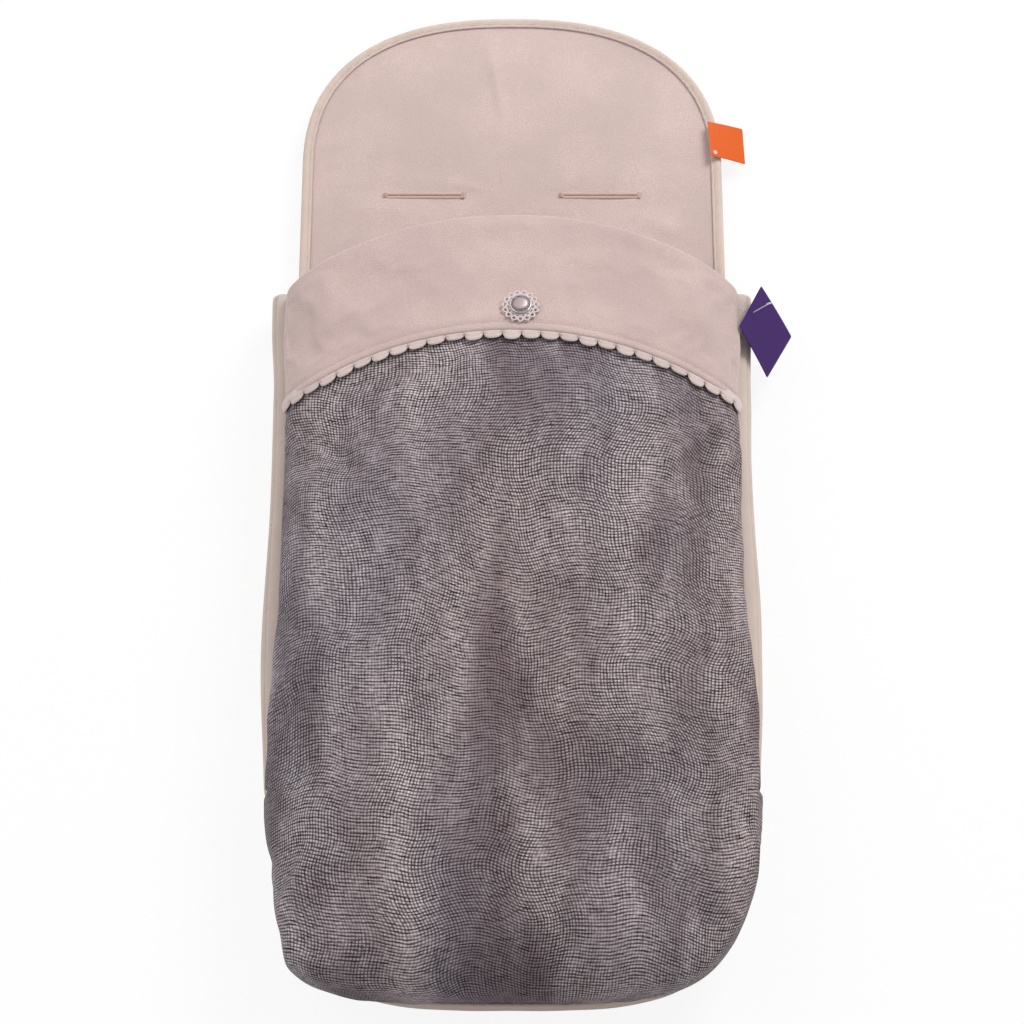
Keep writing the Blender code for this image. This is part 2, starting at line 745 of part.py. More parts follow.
def cover(carrier):
    """Outer cloth, wadding and lining from the fold to the mouth, and the rolled hem there."""
    for name, depth, wall, finish, inset in LAYERS:
        outer, inner = cover_grid(depth, inset), cover_grid(depth + wall, inset)
        faces = grid_faces(*outer.shape[:2])
        mesh = wall_between(f"cover_{name}", outer.reshape(-1, 3), inner.reshape(-1, 3), faces)
        add_object(f"cover_{name}", mesh, finish, carrier)

    across = np.array([-HEM_END, -4 / 3, *DOME_COLUMNS, 4 / 3, HEM_END])[None, :]
    middle = cover_section(across, mouth_line(across) - HEM)
    near = cover_section(across, mouth_line(across) - 2 * HEM)
    normals = grid_normals(np.concatenate([near, middle]))[1]
    path = middle[0] - HEM * normals
    add_object("mouth_hem", smooth(tube("mouth_hem", path, HEM, 1)), "plush", carrier)


# The zips


def tooth_outline(half_shift):
    """One row seen from above: a corded edge with tapering teeth that reach past x = 0."""
    outline = [(SPINE_IN + SPINE_WIDTH, CHAIN_START), (SPINE_IN, CHAIN_START)]
    for index in range(TEETH - 1):
        y = CHAIN_START + (index + 0.5 + half_shift) * TOOTH_PITCH
        outline.append((SPINE_IN, y - TOOTH_ROOT / 2))
        outline.append((-TOOTH_REACH, y - TOOTH_TIP / 2))
        outline.append((-TOOTH_REACH, y + TOOTH_TIP / 2))
        outline.append((SPINE_IN, y + TOOTH_ROOT / 2))
    outline += [(SPINE_IN, CHAIN_END), (SPINE_IN + SPINE_WIDTH, CHAIN_END)]
    return outline


def beside_chain(mesh, side, toward, y=0.0):
    """A mesh made for x outward from the chain's middle, mirrored and moved to its place.

    toward is 1 for the row away from the sack and -1 for the cover's row.
    """
    mesh.transform(Matrix.Diagonal((side * toward, 1, 1, 1)))
    mesh.transform(Matrix.Translation((side * CHAIN_X, y, ZIP_HEIGHT)))
    return facing_out(mesh)


def band_tape_width(bulge):
    """Width of the tape that meets the side band's inner face, at the zip's height."""
    middle = (SEAT + BAND_TOP) / 2
    rise = abs(ZIP_HEIGHT - middle) / (BAND_TOP - middle)
    reach = bulge * (1 - rise**BAND_SQUARENESS) ** (1 / BAND_SQUARENESS)
    return BAND_FOOT_X + reach - BAND_WALL - LAYER_PLAY - CHAIN_X - SPINE_IN


def zip_row(name, side, toward, half_shift, widths, carrier):
    """A row of teeth on its tape, as one piece. The tape's widths are at the fold and the mouth."""
    row = flat_curve(name, [tooth_outline(half_shift)], TOOTH_WALL, 0)
    edge = SPINE_IN + SPINE_WIDTH / 2
    low, high = FOLD_Y + TAPE_SETBACK, STOP_Y + STOP_LENGTH
    at_fold, at_mouth = (SPINE_IN + width for width in widths)
    outline = [(edge, low), (at_fold, low), (at_mouth, high), (edge, high)]
    tape = flat_curve(name, [outline], TAPE_WALL, 0)
    mesh = united(name, [facing_out(row), facing_out(tape)])
    add_object(name, beside_chain(mesh, side, toward), "zip", carrier)


def zip_stop(name, side, toward, y, carrier):
    """A moulded clip that straddles the tape's edge, its open side away from the chain."""
    far = SPINE_IN + SPINE_WIDTH
    slot = SPINE_IN + SPINE_WIDTH / 2 - GAP
    high, low = TOOTH_WALL / 2, TAPE_WALL / 2 + GAP
    clip = [(STOP_IN, -high), (far, -high), (far, -low), (slot, -low)]
    clip += [(x, -z) for x, z in reversed(clip)]
    mesh = flat_curve(name, [clip], STOP_LENGTH, 0)
    mesh.transform(Matrix.Rotation(math.pi / 2, 4, "X"))
    add_object(name, beside_chain(mesh, side, toward, y + STOP_LENGTH / 2), "zip", carrier)


def ring_mesh(name, middle):
    """A wire ring about the X axis."""
    bpy.ops.mesh.primitive_torus_add(
        major_radius=RING_RADIUS,
        minor_radius=RING_WIRE,
        major_segments=12,
        minor_segments=6,
    )
    ring = bpy.context.object
    ring.name = name
    ring.rotation_euler.y = math.pi / 2
    ring.location = middle
    bpy.context.view_layer.update()
    return baked(ring, name)


def slider(name, side, carrier):
    """Two plates round the chain, a divider, side flanges and a ring for the pull."""
    front, tail = SLIDER_FRONT / 2, SLIDER_TAIL / 2
    half = SLIDER_HALF
    ring_x = -side * PULL_INSET
    left, right = ring_x - TONGUE_WIDTH / 2, ring_x + TONGUE_WIDTH / 2
    tip = NOSE + RING_WIRE
    body = [(-tail, -half), (tail, -half), (tail, -half / 4), (front, half / 3), (front, half)]
    tongue = [(right, half), (right, tip), (left, tip), (left, half)]
    closing = [(-front, half), (-front, half / 3), (-tail, -half / 4)]
    upper = flat_curve(name, [body + tongue + closing], SLIDER_PLATE, PLATE_LEVEL)
    lower = flat_curve(name, [body + closing], SLIDER_PLATE, -PLATE_LEVEL)
    deep = SLIDER_PLATE / 2
    pieces = [upper, lower]
    post_near = TOOTH_REACH + TAPE_PLAY
    post_far = post_near + FLANGE_WALL
    post = sorted((-side * post_near, -side * post_far))
    low = (post[0], DIVIDER_Y, -PLATE_LEVEL)
    high = (post[1], half - DIVIDER_INSET, PLATE_LEVEL)
    pieces.append(box(name, low, high))
    slot = TAPE_WALL / 2 + TAPE_PLAY
    for edge in (-1, 1):
        across = sorted((edge * (tail - FLANGE_WALL), edge * tail))
        for up in (-1, 1):
            span = sorted((up * slot, up * (CHANNEL + deep)))
            low = (across[0], FLANGE_INSET - half, span[0])
            high = (across[1], half - FLANGE_INSET, span[1])
            pieces.append(box(name, low, high))
    pieces.append(ring_mesh(name, (ring_x, NOSE + RING_RADIUS, PLATE_LEVEL + RING_RISE)))
    for piece in pieces:
        facing_out(piece)
    made = add_object(name, united(name, pieces), "silver")
    made.parent = carrier
    return made


def pull_tab(name, side, carrier):
    """A flat tab with a window, hanging from its top bar, whose middle is the pivot."""
    half = PULL_WIDTH / 2
    bar = PULL_WALL
    top = bar / 2
    window_top = -bar / 2
    window_low = window_top - 2 * (RING_RADIUS + RING_WIRE)
    window = PULL_WIDTH / 2 - bar
    bottom = top - PULL_LENGTH
    corner = half * 0.6
    outer = [(-half, top), (-half, bottom + corner), (-half + corner, bottom)]
    outer += [(half - corner, bottom), (half, bottom + corner), (half, top)]
    inner = [(-window, window_top), (-window, window_low), (window, window_low), (window, window_top)]
    mesh = flat_curve(name, [outer, inner], PULL_WALL, 0)
    mesh.transform(Matrix.Rotation(math.pi / 2, 4, "X"))
    tab = add_object(name, facing_out(mesh), "silver")
    tab.parent = carrier
    return tab


def zips(cover_carrier):
    band_widths = band_tape_width(BAND_FOLD_BULGE), band_tape_width(BAND_BULGE)
    for side, hand in ((-1, "left"), (1, "right")):
        zip_row(f"zip_tape_base_{hand}", side, 1, 0.0, band_widths, None)
        zip_row(f"zip_tape_cover_{hand}", side, -1, 0.5, (TAPE_WIDTH, TAPE_WIDTH), cover_carrier)
        zip_stop(f"top_stop_base_{hand}", side, 1, STOP_Y, None)
        zip_stop(f"top_stop_cover_{hand}", side, -1, STOP_Y, cover_carrier)
        zip_stop(f"bottom_stop_{hand}", side, 1, CHAIN_START - STOP_LENGTH - GAP, None)
        track = joint_empty(f"slider_track_{hand}", (side * CHAIN_X, SLIDER_Y, ZIP_HEIGHT))
        slider(f"slider_{hand}", side, track)
        pivot_x = side * (CHAIN_X - PULL_INSET)
        pivot = joint_empty(f"pull_pivot_{hand}", (pivot_x, PULL_Y, PULL_Z), track)
        pull_tab(f"pull_tab_{hand}", side, pivot)


# The cuff


def lobe_edge(share):
    """How far the trim hangs at a share of one lobe: half-round, with a sharp cusp between."""
    return LOBE_DROP * np.sqrt(np.clip(1 - (2 * share - 1) ** 2, 0, 1))


def edge_places(count_per_lobe):
    """Places across the cover that divide the cuff's lower edge into lobes of even length."""
    fine = np.linspace(-1, 1, 400)[None, :]
    edge = cover_section(fine, mouth_line(fine) - CUFF_DEPTH)[0]
    length = np.concatenate([[0], np.cumsum(np.linalg.norm(np.diff(edge, axis=0), axis=1))])
    lobes = round(length[-1] / LOBE_PITCH)
    steps = np.linspace(0, length[-1], lobes * count_per_lobe + 1)
    across = np.interp(steps, length, fine[0])
    share = np.arange(len(steps)) % count_per_lobe / count_per_lobe
    return across, share


def cuff_grids():
    """The cover's face under the cuff and the cuff's outer face, as grids of like points."""
    across, share = np.meshgrid(DOME_COLUMNS, np.linspace(0, 1, CUFF_ROWS))
    y = mouth_line(across) - CUFF_DEPTH + share * (CUFF_DEPTH - HEM)
    face = cover_section(across, y)
    return face, face + (CUFF_LIFT + CUFF_WALL) * grid_normals(face)


def cuff(carrier):
    """The turned-down cuff, the scalloped trim along its lower edge, and its button."""
    face, grid = cuff_grids()
    piece = add_object("cuff", smooth(grid_surface("cuff", grid), 60), "plush", carrier)
    thicken(piece, CUFF_WALL)

    edge = face[0]
    across, share = edge_places(4)
    x = cover_section(across, mouth_line(across) - CUFF_DEPTH)[:, 0]
    top = np.interp(x, edge[:, 0], edge[:, 1]) - GAP
    drop = TRIM_BAND + lobe_edge(share)
    rows = [cover_section(across[None, :], (top - fall)[None, :])[0] for fall in (drop, 0 * drop)]
    strip = np.array(rows)
    below = cover_section(across[None, :], (top - SLOPE_STEP)[None, :])[0]
    normals = grid_normals(np.array([below, strip[1]]))[1]
    strip = strip + (CUFF_LIFT + TRIM_WALL) * normals
    trim = add_object("scallop_trim", grid_surface("scallop_trim", strip), "cream", carrier)
    thicken(trim, TRIM_WALL)
    button(carrier, piece)


def button_frame():
    """A matrix whose Z is the cover's normal under the button and whose origin is on the cover."""
    y = np.array([[BUTTON_Y]])
    step = SLOPE_STEP
    spot = cover_section(np.array([[0.0]]), y)[0, 0]
    ahead = cover_section(np.array([[0.0]]), y + step)[0, 0]
    behind = cover_section(np.array([[0.0]]), y - step)[0, 0]
    along = Vector(ahead - behind).normalized()
    up = Vector((1, 0, 0)).cross(along)
    tilt = Matrix.Rotation(math.atan2(-up.y, up.z), 4, "X")
    return Matrix.Translation((BUTTON_X, BUTTON_Y, spot[2])) @ tilt


def petal_outline():
    """A round with shallow petals: its radius falls by the depth between petals."""
    turns = np.linspace(0, 2 * np.pi, PETALS * 6, endpoint=False)
    radius = ROSETTE_WIDTH / 2 - PETAL_DEPTH * (1 - np.abs(np.sin(turns * PETALS / 2)))
    return np.column_stack([radius * np.cos(turns), radius * np.sin(turns)])


def circle(radius, count=16):
    turns = np.linspace(0, 2 * np.pi, count, endpoint=False)
    return np.column_stack([radius * np.cos(turns), radius * np.sin(turns)])


def button(carrier, cuff_piece):
    """Jewelled cap and rosette on the cuff, its socket in a pocket below, the stud on the cover."""
    frame = button_frame()
    face = CUFF_LIFT + CUFF_WALL
    bore = SHANK / 2 + SHANK_PLAY
    pocket_width = SOCKET_WIDTH / 2 + GAP

    pocket = [
        (0, 2 * face),
        (bore, 2 * face),
        (bore, POCKET_DEPTH),
        (pocket_width, POCKET_DEPTH),
        (pocket_width, -face),
        (0, -face),
    ]
    cut = turned("button_cut", pocket, 16)
    cut.transform(frame)
    boolean(cuff_piece, helper("button_cut", cut))

    rosette_top = face + ROSETTE_PLAY + ROSETTE_WALL
    middle = rosette_top - ROSETTE_WALL / 2
    outlines = [petal_outline(), circle(bore)]
    rosette = flat_curve("lace_rosette", outlines, ROSETTE_WALL, middle)
    rosette.transform(frame)
    add_object("lace_rosette", rosette, "lace", carrier)

    seat = rosette_top + GAP
    rim = CAP_WIDTH / 2
    profile = [
        (0, seat + CAP_HEIGHT * 0.8),
        (rim * 0.35, seat + CAP_HEIGHT * 0.76),
        (rim * 0.62, seat + CAP_HEIGHT * 0.62),
        (rim * 0.70, seat + CAP_HEIGHT * 0.92),
        (rim * 0.80, seat + CAP_HEIGHT),
        (rim * 0.92, seat + CAP_HEIGHT * 0.84),
        (rim, seat + CAP_HEIGHT * 0.45),
        (rim * 0.96, seat),
        (SHANK / 2, seat),
        (SHANK / 2, POCKET_DEPTH + GAP),
        (0, POCKET_DEPTH + GAP),
    ]
    cap = turned("button_cap", profile)
    cap.transform(frame)
    add_object("button_cap", cap, "silver", carrier)

    high = POCKET_DEPTH - GAP
    low = high - SOCKET_WALL
    inner, outer = SOCKET_BORE / 2, SOCKET_WIDTH / 2
    section = [(inner, high), (outer, high), (outer, low), (inner, low), (inner, high)]
    socket = turned("stud_socket", section, 16)
    socket.transform(frame)
    add_object("stud_socket", socket, "silver", carrier)

    foot = 2 * GAP
    plate = foot + STUD_PLATE
    stud_top = high - GAP
    ball = STUD_WIDTH / 2
    neck = 0.8 * ball
    section = [
        (0, stud_top),
        (neck, stud_top),
        (ball, stud_top - STUD_PLATE),
        (neck, plate),
        (STUD_FLANGE / 2, plate),
        (STUD_FLANGE / 2, foot),
        (0, foot),
    ]
    stud = turned("press_stud", section, 16)
    stud.transform(frame)
    add_object("press_stud", stud, "silver", carrier.parent)


# Swing tags


def tag_mesh(name, width, length, hole_place):
    """A card with a round hole: its hinge edge is the X axis, its body lies along -Y."""
    half = width / 2
    outline = [(-half, 0), (-half, -length), (half, -length), (half, 0)]
    hole = circle(TAG_HOLE / 2, 10) + hole_place
    return flat_curve(name, [outline, hole], TAG_WALL, 0)


def placed(mesh, origin, edge, drop):
    """The mesh with its X along a hinge edge, its -Y along the drop and its Z across both."""
    x = Vector(edge).normalized()
    y = -(Vector(drop) - x * x.dot(Vector(drop))).normalized()
    z = x.cross(y)
    turn = Matrix((x, y, z)).transposed().to_4x4()
    mesh.transform(Matrix.Translation(origin) @ turn)
    return Matrix.Translation(origin) @ turn


def orange_tag():
    """A square card at the head panel's right edge, held by a small barb."""
    edge = Vector((math.sin(ORANGE_TURN), math.cos(ORANGE_TURN), 0))
    slope = math.cos(ORANGE_SLOPE)
    drop = Vector((edge.y * slope, -edge.x * slope, -math.sin(ORANGE_SLOPE)))
    origin = Vector((BACK_HALF - ORANGE_INSET, ORANGE_Y, BINDING_TOP + ORANGE_LIFT))
    hole = (-ORANGE_SIDE / 2 + ORANGE_HOLE, -ORANGE_HOLE)
    pivot = joint_empty("orange_tag_axis", origin)
    mesh = tag_mesh("orange_tag", ORANGE_SIDE, ORANGE_SIDE, hole)
    frame = placed(mesh, origin, edge, drop)
    add_object("orange_tag", mesh, "orange", pivot)
    head = frame @ Vector((*hole, TAG_WALL))
    foot = Vector((head.x, head.y, BINDING_TOP + GAP + FILAMENT / 2))
    shaft = tube("orange_tag_barb", [foot, head], FILAMENT / 2, 1)
    ends = [foot - edge * BARB_HALF, foot + edge * BARB_HALF]
    bar = tube("orange_tag_barb", ends, BARB_RADIUS, 1)
    radius, height = BARB_HEAD
    cap = turned("orange_tag_barb", [(0, height), (radius, height), (radius, 0), (0, 0)], 10)
    cap.transform(Matrix.Translation(head) @ frame.to_3x3().to_4x4())
    pieces = [facing_out(piece) for piece in (shaft, bar, cap)]
    add_object("orange_tag_barb", united("orange_tag_barb", pieces), "clear", pivot)


def cuff_side(y, stand_off):
    """A point off the cuff's right side, at a height where the tag's fastener comes out."""
    grid = cuff_grids()[1]
    inner, outer = (
        Vector([np.interp(y, line[:, 1], line[:, axis]) for axis in range(3)])
        for line in (grid[:, -2], grid[:, -1])
    )
    normal = Vector((0, 1, 0)).cross(inner - outer).normalized()
    return outer.lerp(inner, FASTENER_IN) + stand_off * normal


def purple_tag(carrier):
    """A card at the cuff's right corner on a plastic fastener with a paddle end."""
    left, top = Vector(PURPLE_LEFT), Vector(PURPLE_TOP)
    edge = top - left
    mesh = tag_mesh("purple_tag", edge.length, PURPLE_LENGTH, PURPLE_HOLE)
    frame = placed(mesh, (left + top) / 2, edge, PURPLE_DROP)
    under = frame @ Vector((*PURPLE_HOLE, -2 * FILAMENT))
    over = frame @ Vector((*PURPLE_HOLE, 2 * FILAMENT))
    root = cuff_side(under.y, GAP + FILAMENT / 2)
    pivot = joint_empty("purple_tag_axis", root, carrier)
    add_object("purple_tag", mesh, "purple", pivot)
    end = Vector(PADDLE_END)
    line = tube("purple_tag_fastener", [root, under, over, end], FILAMENT / 2, 1)
    along = (end - over).normalized()
    across = along.cross(frame.to_3x3() @ Vector((0, 0, 1))).normalized()
    turn = Matrix((across, along, across.cross(along))).transposed().to_4x4()
    corner = Vector(PADDLE) / 2
    paddle = box("purple_tag_fastener", -corner, corner)
    paddle.transform(Matrix.Translation(end) @ turn)
    pieces = [facing_out(line), facing_out(paddle)]
    add_object("purple_tag_fastener", united("purple_tag_fastener", pieces), "clear", pivot)


def build():
    back_panel()
    head_binding()
    side_bands()
    toe_box()
    cover_carrier = joint_empty("cover_fold_axis", COVER_AXIS)
    cover(cover_carrier)
    zips(cover_carrier)
    cuff_carrier = joint_empty("cuff_axis", CUFF_AXIS, cover_carrier)
    cuff(cuff_carrier)
    orange_tag()
    purple_tag(cuff_carrier)


clear_scene()
PARTS = collection("carrycot_footmuff")
CUTTERS = collection("cutters", hidden=True)
build()
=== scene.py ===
# %% [markdown]
# A padded footmuff for a carrycot lies on its back with its cover zipped shut. The CAD model
# gives every solid, every joint and every size. This script dresses that model: it keeps the
# rigid pieces, puts soft cloth in place of the stiff solids and gives each surface a finish.
# Everything is in metres. +Y points to the head end, +Z up through the cover.

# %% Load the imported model
import math

import bmesh
import bpy
import numpy as np
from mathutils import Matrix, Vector


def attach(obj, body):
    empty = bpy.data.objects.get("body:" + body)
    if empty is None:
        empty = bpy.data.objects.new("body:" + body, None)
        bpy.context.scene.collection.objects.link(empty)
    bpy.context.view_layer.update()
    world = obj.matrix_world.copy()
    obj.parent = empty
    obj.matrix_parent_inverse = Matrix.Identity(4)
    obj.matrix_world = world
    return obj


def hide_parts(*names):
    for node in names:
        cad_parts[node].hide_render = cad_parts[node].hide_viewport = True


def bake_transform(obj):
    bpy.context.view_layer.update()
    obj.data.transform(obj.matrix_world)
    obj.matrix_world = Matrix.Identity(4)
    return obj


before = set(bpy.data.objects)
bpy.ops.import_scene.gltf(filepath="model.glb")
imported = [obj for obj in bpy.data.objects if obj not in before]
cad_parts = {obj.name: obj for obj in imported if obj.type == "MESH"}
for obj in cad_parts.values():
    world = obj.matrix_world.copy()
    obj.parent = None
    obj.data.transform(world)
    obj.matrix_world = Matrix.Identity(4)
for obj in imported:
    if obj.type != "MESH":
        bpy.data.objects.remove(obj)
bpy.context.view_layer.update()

# %% [markdown]
# The photograph looks down at 66 degrees from about 2.4 m. A long lens at that distance keeps
# the foot end only a little larger than the head end. A camera could be turned by hand, but
# aiming it at a point along a known direction is exact and needs no trial.


# %% Camera
def put(name, data):
    """An object with its data, put in the scene."""
    made = bpy.data.objects.new(name, data)
    bpy.context.scene.collection.objects.link(made)
    return made


TARGET = Vector((0, -0.0467, 0.05))
DISTANCE = 2.4
ELEVATION = math.radians(66)
PIXELS_PER_METRE = 1215  # at the target
back = Vector((0, -math.cos(ELEVATION), math.sin(ELEVATION)))
camera = put("camera", bpy.data.cameras.new("camera"))
camera.data.angle = 2 * math.atan(512 / (PIXELS_PER_METRE * DISTANCE))
camera.location = TARGET + DISTANCE * back
camera.rotation_euler = back.to_track_quat("Z", "Y").to_euler()
bpy.context.scene.camera = camera
bpy.context.scene.view_settings.view_transform = "Standard"
print("field of view", round(math.degrees(camera.data.angle), 1), "degrees")

# %% [markdown]
# A material is a tree of nodes. Writing its sums as Python expressions is shorter and easier to
# read than placing nodes one by one. A small class stands for one output socket, and each
# operator on it adds one Math node. Every other node comes from one method.


# %% Sockets that can be added and multiplied
class Wire:
    """An output socket. Arithmetic on it adds Math nodes to its tree."""

    def __init__(self, finish, socket):
        self.finish = finish
        self.socket = socket

    def math(self, operation, first, second=0.0):
        return self.finish.node("ShaderNodeMath", {"operation": operation}, {0: first, 1: second})

    def __add__(self, other):
        return self.math("ADD", self, other)

    def __radd__(self, other):
        return self.math("ADD", other, self)

    def __sub__(self, other):
        return self.math("SUBTRACT", self, other)

    def __rsub__(self, other):
        return self.math("SUBTRACT", other, self)

    def __mul__(self, other):
        return self.math("MULTIPLY", self, other)

    def __rmul__(self, other):
        return self.math("MULTIPLY", other, self)

    def __truediv__(self, other):
        return self.math("DIVIDE", self, other)

    def __pow__(self, other):
        return self.math("POWER", self, other)

    def fraction(self):
        return self.math("FRACT", self)

    def absolute(self):
        return self.math("ABSOLUTE", self)

    def least(self, other):
        return self.math("MINIMUM", self, other)

    def wave(self):
        return self.math("SINE", self)

    def eased(self, low, high):
        """0 below low, 1 above high and a smooth step between."""
        settings = {"interpolation_type": "SMOOTHSTEP"}
        inputs = {"Value": self, "From Min": low, "From Max": high}
        return self.finish.node("ShaderNodeMapRange", settings, inputs)


class Finish:
    """A material of one Principled shader, with methods that add nodes to it."""

    def __init__(self, name, roughness, metallic=0.0, sheen=0.0, coat=0.0, gloss=0.25):
        self.material = bpy.data.materials.new(name)
        self.material.use_nodes = True
        self.tree = self.material.node_tree
        self.shader = self.tree.nodes["Principled BSDF"]
        self.shader.inputs["Roughness"].default_value = roughness
        self.shader.inputs["Metallic"].default_value = metallic
        self.shader.inputs["Sheen Weight"].default_value = sheen
        self.shader.inputs["Sheen Roughness"].default_value = 0.5
        self.shader.inputs["Coat Weight"].default_value = coat
        self.shader.inputs["Specular IOR Level"].default_value = gloss

    def node(self, kind, settings=None, inputs=None, output=0):
        """A node of a kind: its settings first, then the values or wires of its inputs."""
        made = self.tree.nodes.new(kind)
        for key, value in (settings or {}).items():
            setattr(made, key, value)
        for key, value in (inputs or {}).items():
            if isinstance(value, Wire):
                self.tree.links.new(value.socket, made.inputs[key])
            else:
                made.inputs[key].default_value = value
        return Wire(self, made.outputs[output])

    def place(self):
        """Object coordinates, in metres."""
        return self.node("ShaderNodeTexCoord", output="Object")

    def pattern(self):
        """The piece's own flat coordinates, in metres along the cloth."""
        return self.node("ShaderNodeTexCoord", output="UV")

    def parts(self, vector):
        made = self.node("ShaderNodeSeparateXYZ", inputs={0: vector})
        outputs = made.socket.node.outputs
        return Wire(self, outputs[0]), Wire(self, outputs[1]), Wire(self, outputs[2])

    def joined(self, x, y, z=0.0):
        return self.node("ShaderNodeCombineXYZ", inputs={0: x, 1: y, 2: z})

    def stretched(self, vector, scale):
        return self.node("ShaderNodeMapping", inputs={"Vector": vector, "Scale": scale})

    def noise(self, vector, scale, detail=2.0, roughness=0.5):
        inputs = {"Vector": vector, "Scale": scale, "Detail": detail, "Roughness": roughness}
        return self.node("ShaderNodeTexNoise", inputs=inputs)

    def streaks(self, vector, scale, detail=2.0, roughness=0.5):
        """Noise whose grain differs between the two ways of a cloth."""
        return self.noise(self.stretched(vector, (*scale, 1.0)), 1.0, detail, roughness)

    def mixed(self, share, first, second):
        """A colour between two colours."""
        first = first if isinstance(first, Wire) else (*first, 1)
        second = second if isinstance(second, Wire) else (*second, 1)
        return self.node("ShaderNodeMix", {"data_type": "RGBA"}, {0: share, 6: first, 7: second}, 2)

    def feed(self, **inputs):
        for key, value in inputs.items():
            name = key.replace("_", " ").title()
            self.tree.links.new(value.socket, self.shader.inputs[name])

    def raised(self, height, distance, strength=1.0):
        """Bump from a height between 0 and 1, whose full rise is a distance in metres."""
        inputs = {"Height": height, "Distance": distance, "Strength": strength}
        self.feed(normal=self.node("ShaderNodeBump", inputs=inputs))


print("helpers for materials are ready")

# %% [markdown]
# The room is a pale floor under an even white sky, with one broad soft lamp beyond the head end's
# right and a weaker one on the left, so that the foot end turns into shade. A white sheet could
# be modelled as a curved backdrop, but the camera looks down and sees only floor.

# %% Floor, sky and lamps
floor_mesh = bpy.data.meshes.new("floor")
FLOOR_HALF = 6.0
FLOOR_DROP = 0.0006
corners = ((-1, -1), (1, -1), (1, 1), (-1, 1))
corners = [(FLOOR_HALF * x, FLOOR_HALF * y, -FLOOR_DROP) for x, y in corners]
floor_mesh.from_pydata(corners, [], [(0, 1, 2, 3)])
floor = put("floor", floor_mesh)
paper = Finish("floor_paper", 0.9)
grain = paper.noise(paper.place(), 3.0, 3)
paper.feed(base_color=paper.mixed(grain, (0.93, 0.93, 0.93), (0.96, 0.96, 0.96)))
seen = paper.node("ShaderNodeLightPath")
glow = paper.node("ShaderNodeEmission", inputs={"Color": (1, 1, 1, 1), "Strength": 1.0})
shader = Wire(paper, paper.shader.outputs[0])
FLOOR_GLOW = 0.88
mix = paper.node("ShaderNodeMixShader", inputs={0: seen * FLOOR_GLOW, 1: shader, 2: glow})
paper.tree.links.new(mix.socket, paper.tree.nodes["Material Output"].inputs["Surface"])
floor_mesh.materials.append(paper.material)

sky = bpy.data.worlds.new("sky")
bpy.context.scene.world = sky
sky.use_nodes = True
sky_nodes = sky.node_tree
surface = sky_nodes.nodes["Background"]
surface.inputs["Color"].default_value = (1, 1, 1, 1)
SKY_STRENGTH = 0.50
path = sky_nodes.nodes.new("ShaderNodeLightPath")
plain = sky_nodes.nodes.new("ShaderNodeBackground")
plain.inputs["Color"].default_value = (1, 1, 1, 1)
plain.inputs["Strength"].default_value = 1.0
either = sky_nodes.nodes.new("ShaderNodeMixShader")
surface.inputs["Strength"].default_value = SKY_STRENGTH
sky_nodes.links.new(path.outputs["Is Camera Ray"], either.inputs[0])
sky_nodes.links.new(surface.outputs[0], either.inputs[1])
sky_nodes.links.new(plain.outputs[0], either.inputs[2])
sky_nodes.links.new(either.outputs[0], sky_nodes.nodes["World Output"].inputs["Surface"])


def lamp(name, place, size, watts):
    """A square soft lamp that faces the middle of the footmuff."""
    made = put(name, bpy.data.lights.new(name, "AREA"))
    made.data.size = size
    made.data.energy = watts
    made.location = place
    made.rotation_euler = (Vector(place) - TARGET).to_track_quat("Z", "Y").to_euler()


lamp("main_lamp", (1.5, 1.8, 2.2), 1.4, 64)
lamp("fill_lamp", (-1.7, 0.4, 2.0), 1.8, 20)
print("floor, sky and two lamps")

# %% [markdown]
# The soft pieces are surfaces worked out with numpy: a grid of two parameters becomes a grid of
# points, and neighbouring points become quads. Modelling by hand or sculpting would also work,
# but a formula keeps each cloth exactly where the CAD solid is.


# %% From arrays to meshes
def quads(numbers):
    """Corner numbers of the quads of a grid of vertex numbers, one quad per cell."""
    corners = (numbers[:-1, :-1], numbers[:-1, 1:], numbers[1:, 1:], numbers[1:, :-1])
    return np.stack([c.ravel() for c in corners], axis=1)


def ring_numbers(rows, columns):
    """Vertex numbers of a grid whose last column joins its first."""
    numbers = np.arange(rows * columns).reshape(rows, columns)
    return np.hstack([numbers, numbers[:, :1]])


def mesh_from(name, points, faces, flat=None):
    """A smooth-shaded mesh. flat gives each point its flat place on the cloth, in metres."""
    mesh = bpy.data.meshes.new(name)
    mesh.from_pydata(np.asarray(points, float).tolist(), [], [list(map(int, f)) for f in faces])
    mesh.validate()
    mesh.shade_smooth()
    if flat is not None:
        corner = np.empty(len(mesh.loops), int)
        mesh.loops.foreach_get("vertex_index", corner)
        layer = mesh.uv_layers.new(name="flat")
        layer.data.foreach_set("uv", np.asarray(flat, float)[corner].ravel())
    return mesh


def piece(name, mesh, finish, body=None):
    """An object at the origin with one finish, which rides on a body of the CAD model."""
    made = put(name, mesh)
    mesh.materials.clear()
    mesh.materials.append(finish.material)
    if body:
        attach(made, body)
    return made


def as_mesh(made):
    """The mesh of an object after its modifiers."""
    graph = bpy.context.evaluated_depsgraph_get()
    graph.update()
    return bpy.data.meshes.new_from_object(made.evaluated_get(graph))


def rounded(made):
    """One subdivision, which rounds the edges of a piece."""
    finer = made.modifiers.new("finer", "SUBSURF")
    finer.levels = finer.render_levels = 1


def walled(made, thickness):
    """A wall inward from an open sheet, with rounded edges."""
    wall = made.modifiers.new("wall", "SOLIDIFY")
    wall.thickness = thickness
    wall.offset = -1
    wall.use_even_offset = False
    rounded(made)


def tube_faces(rows, columns):
    """Faces of closed rings carried along a path, with a flat cap at each end."""
    numbers = ring_numbers(rows, columns)
    return [*quads(numbers).tolist(), numbers[0, :-1].tolist(), numbers[-1, :-1][::-1].tolist()]


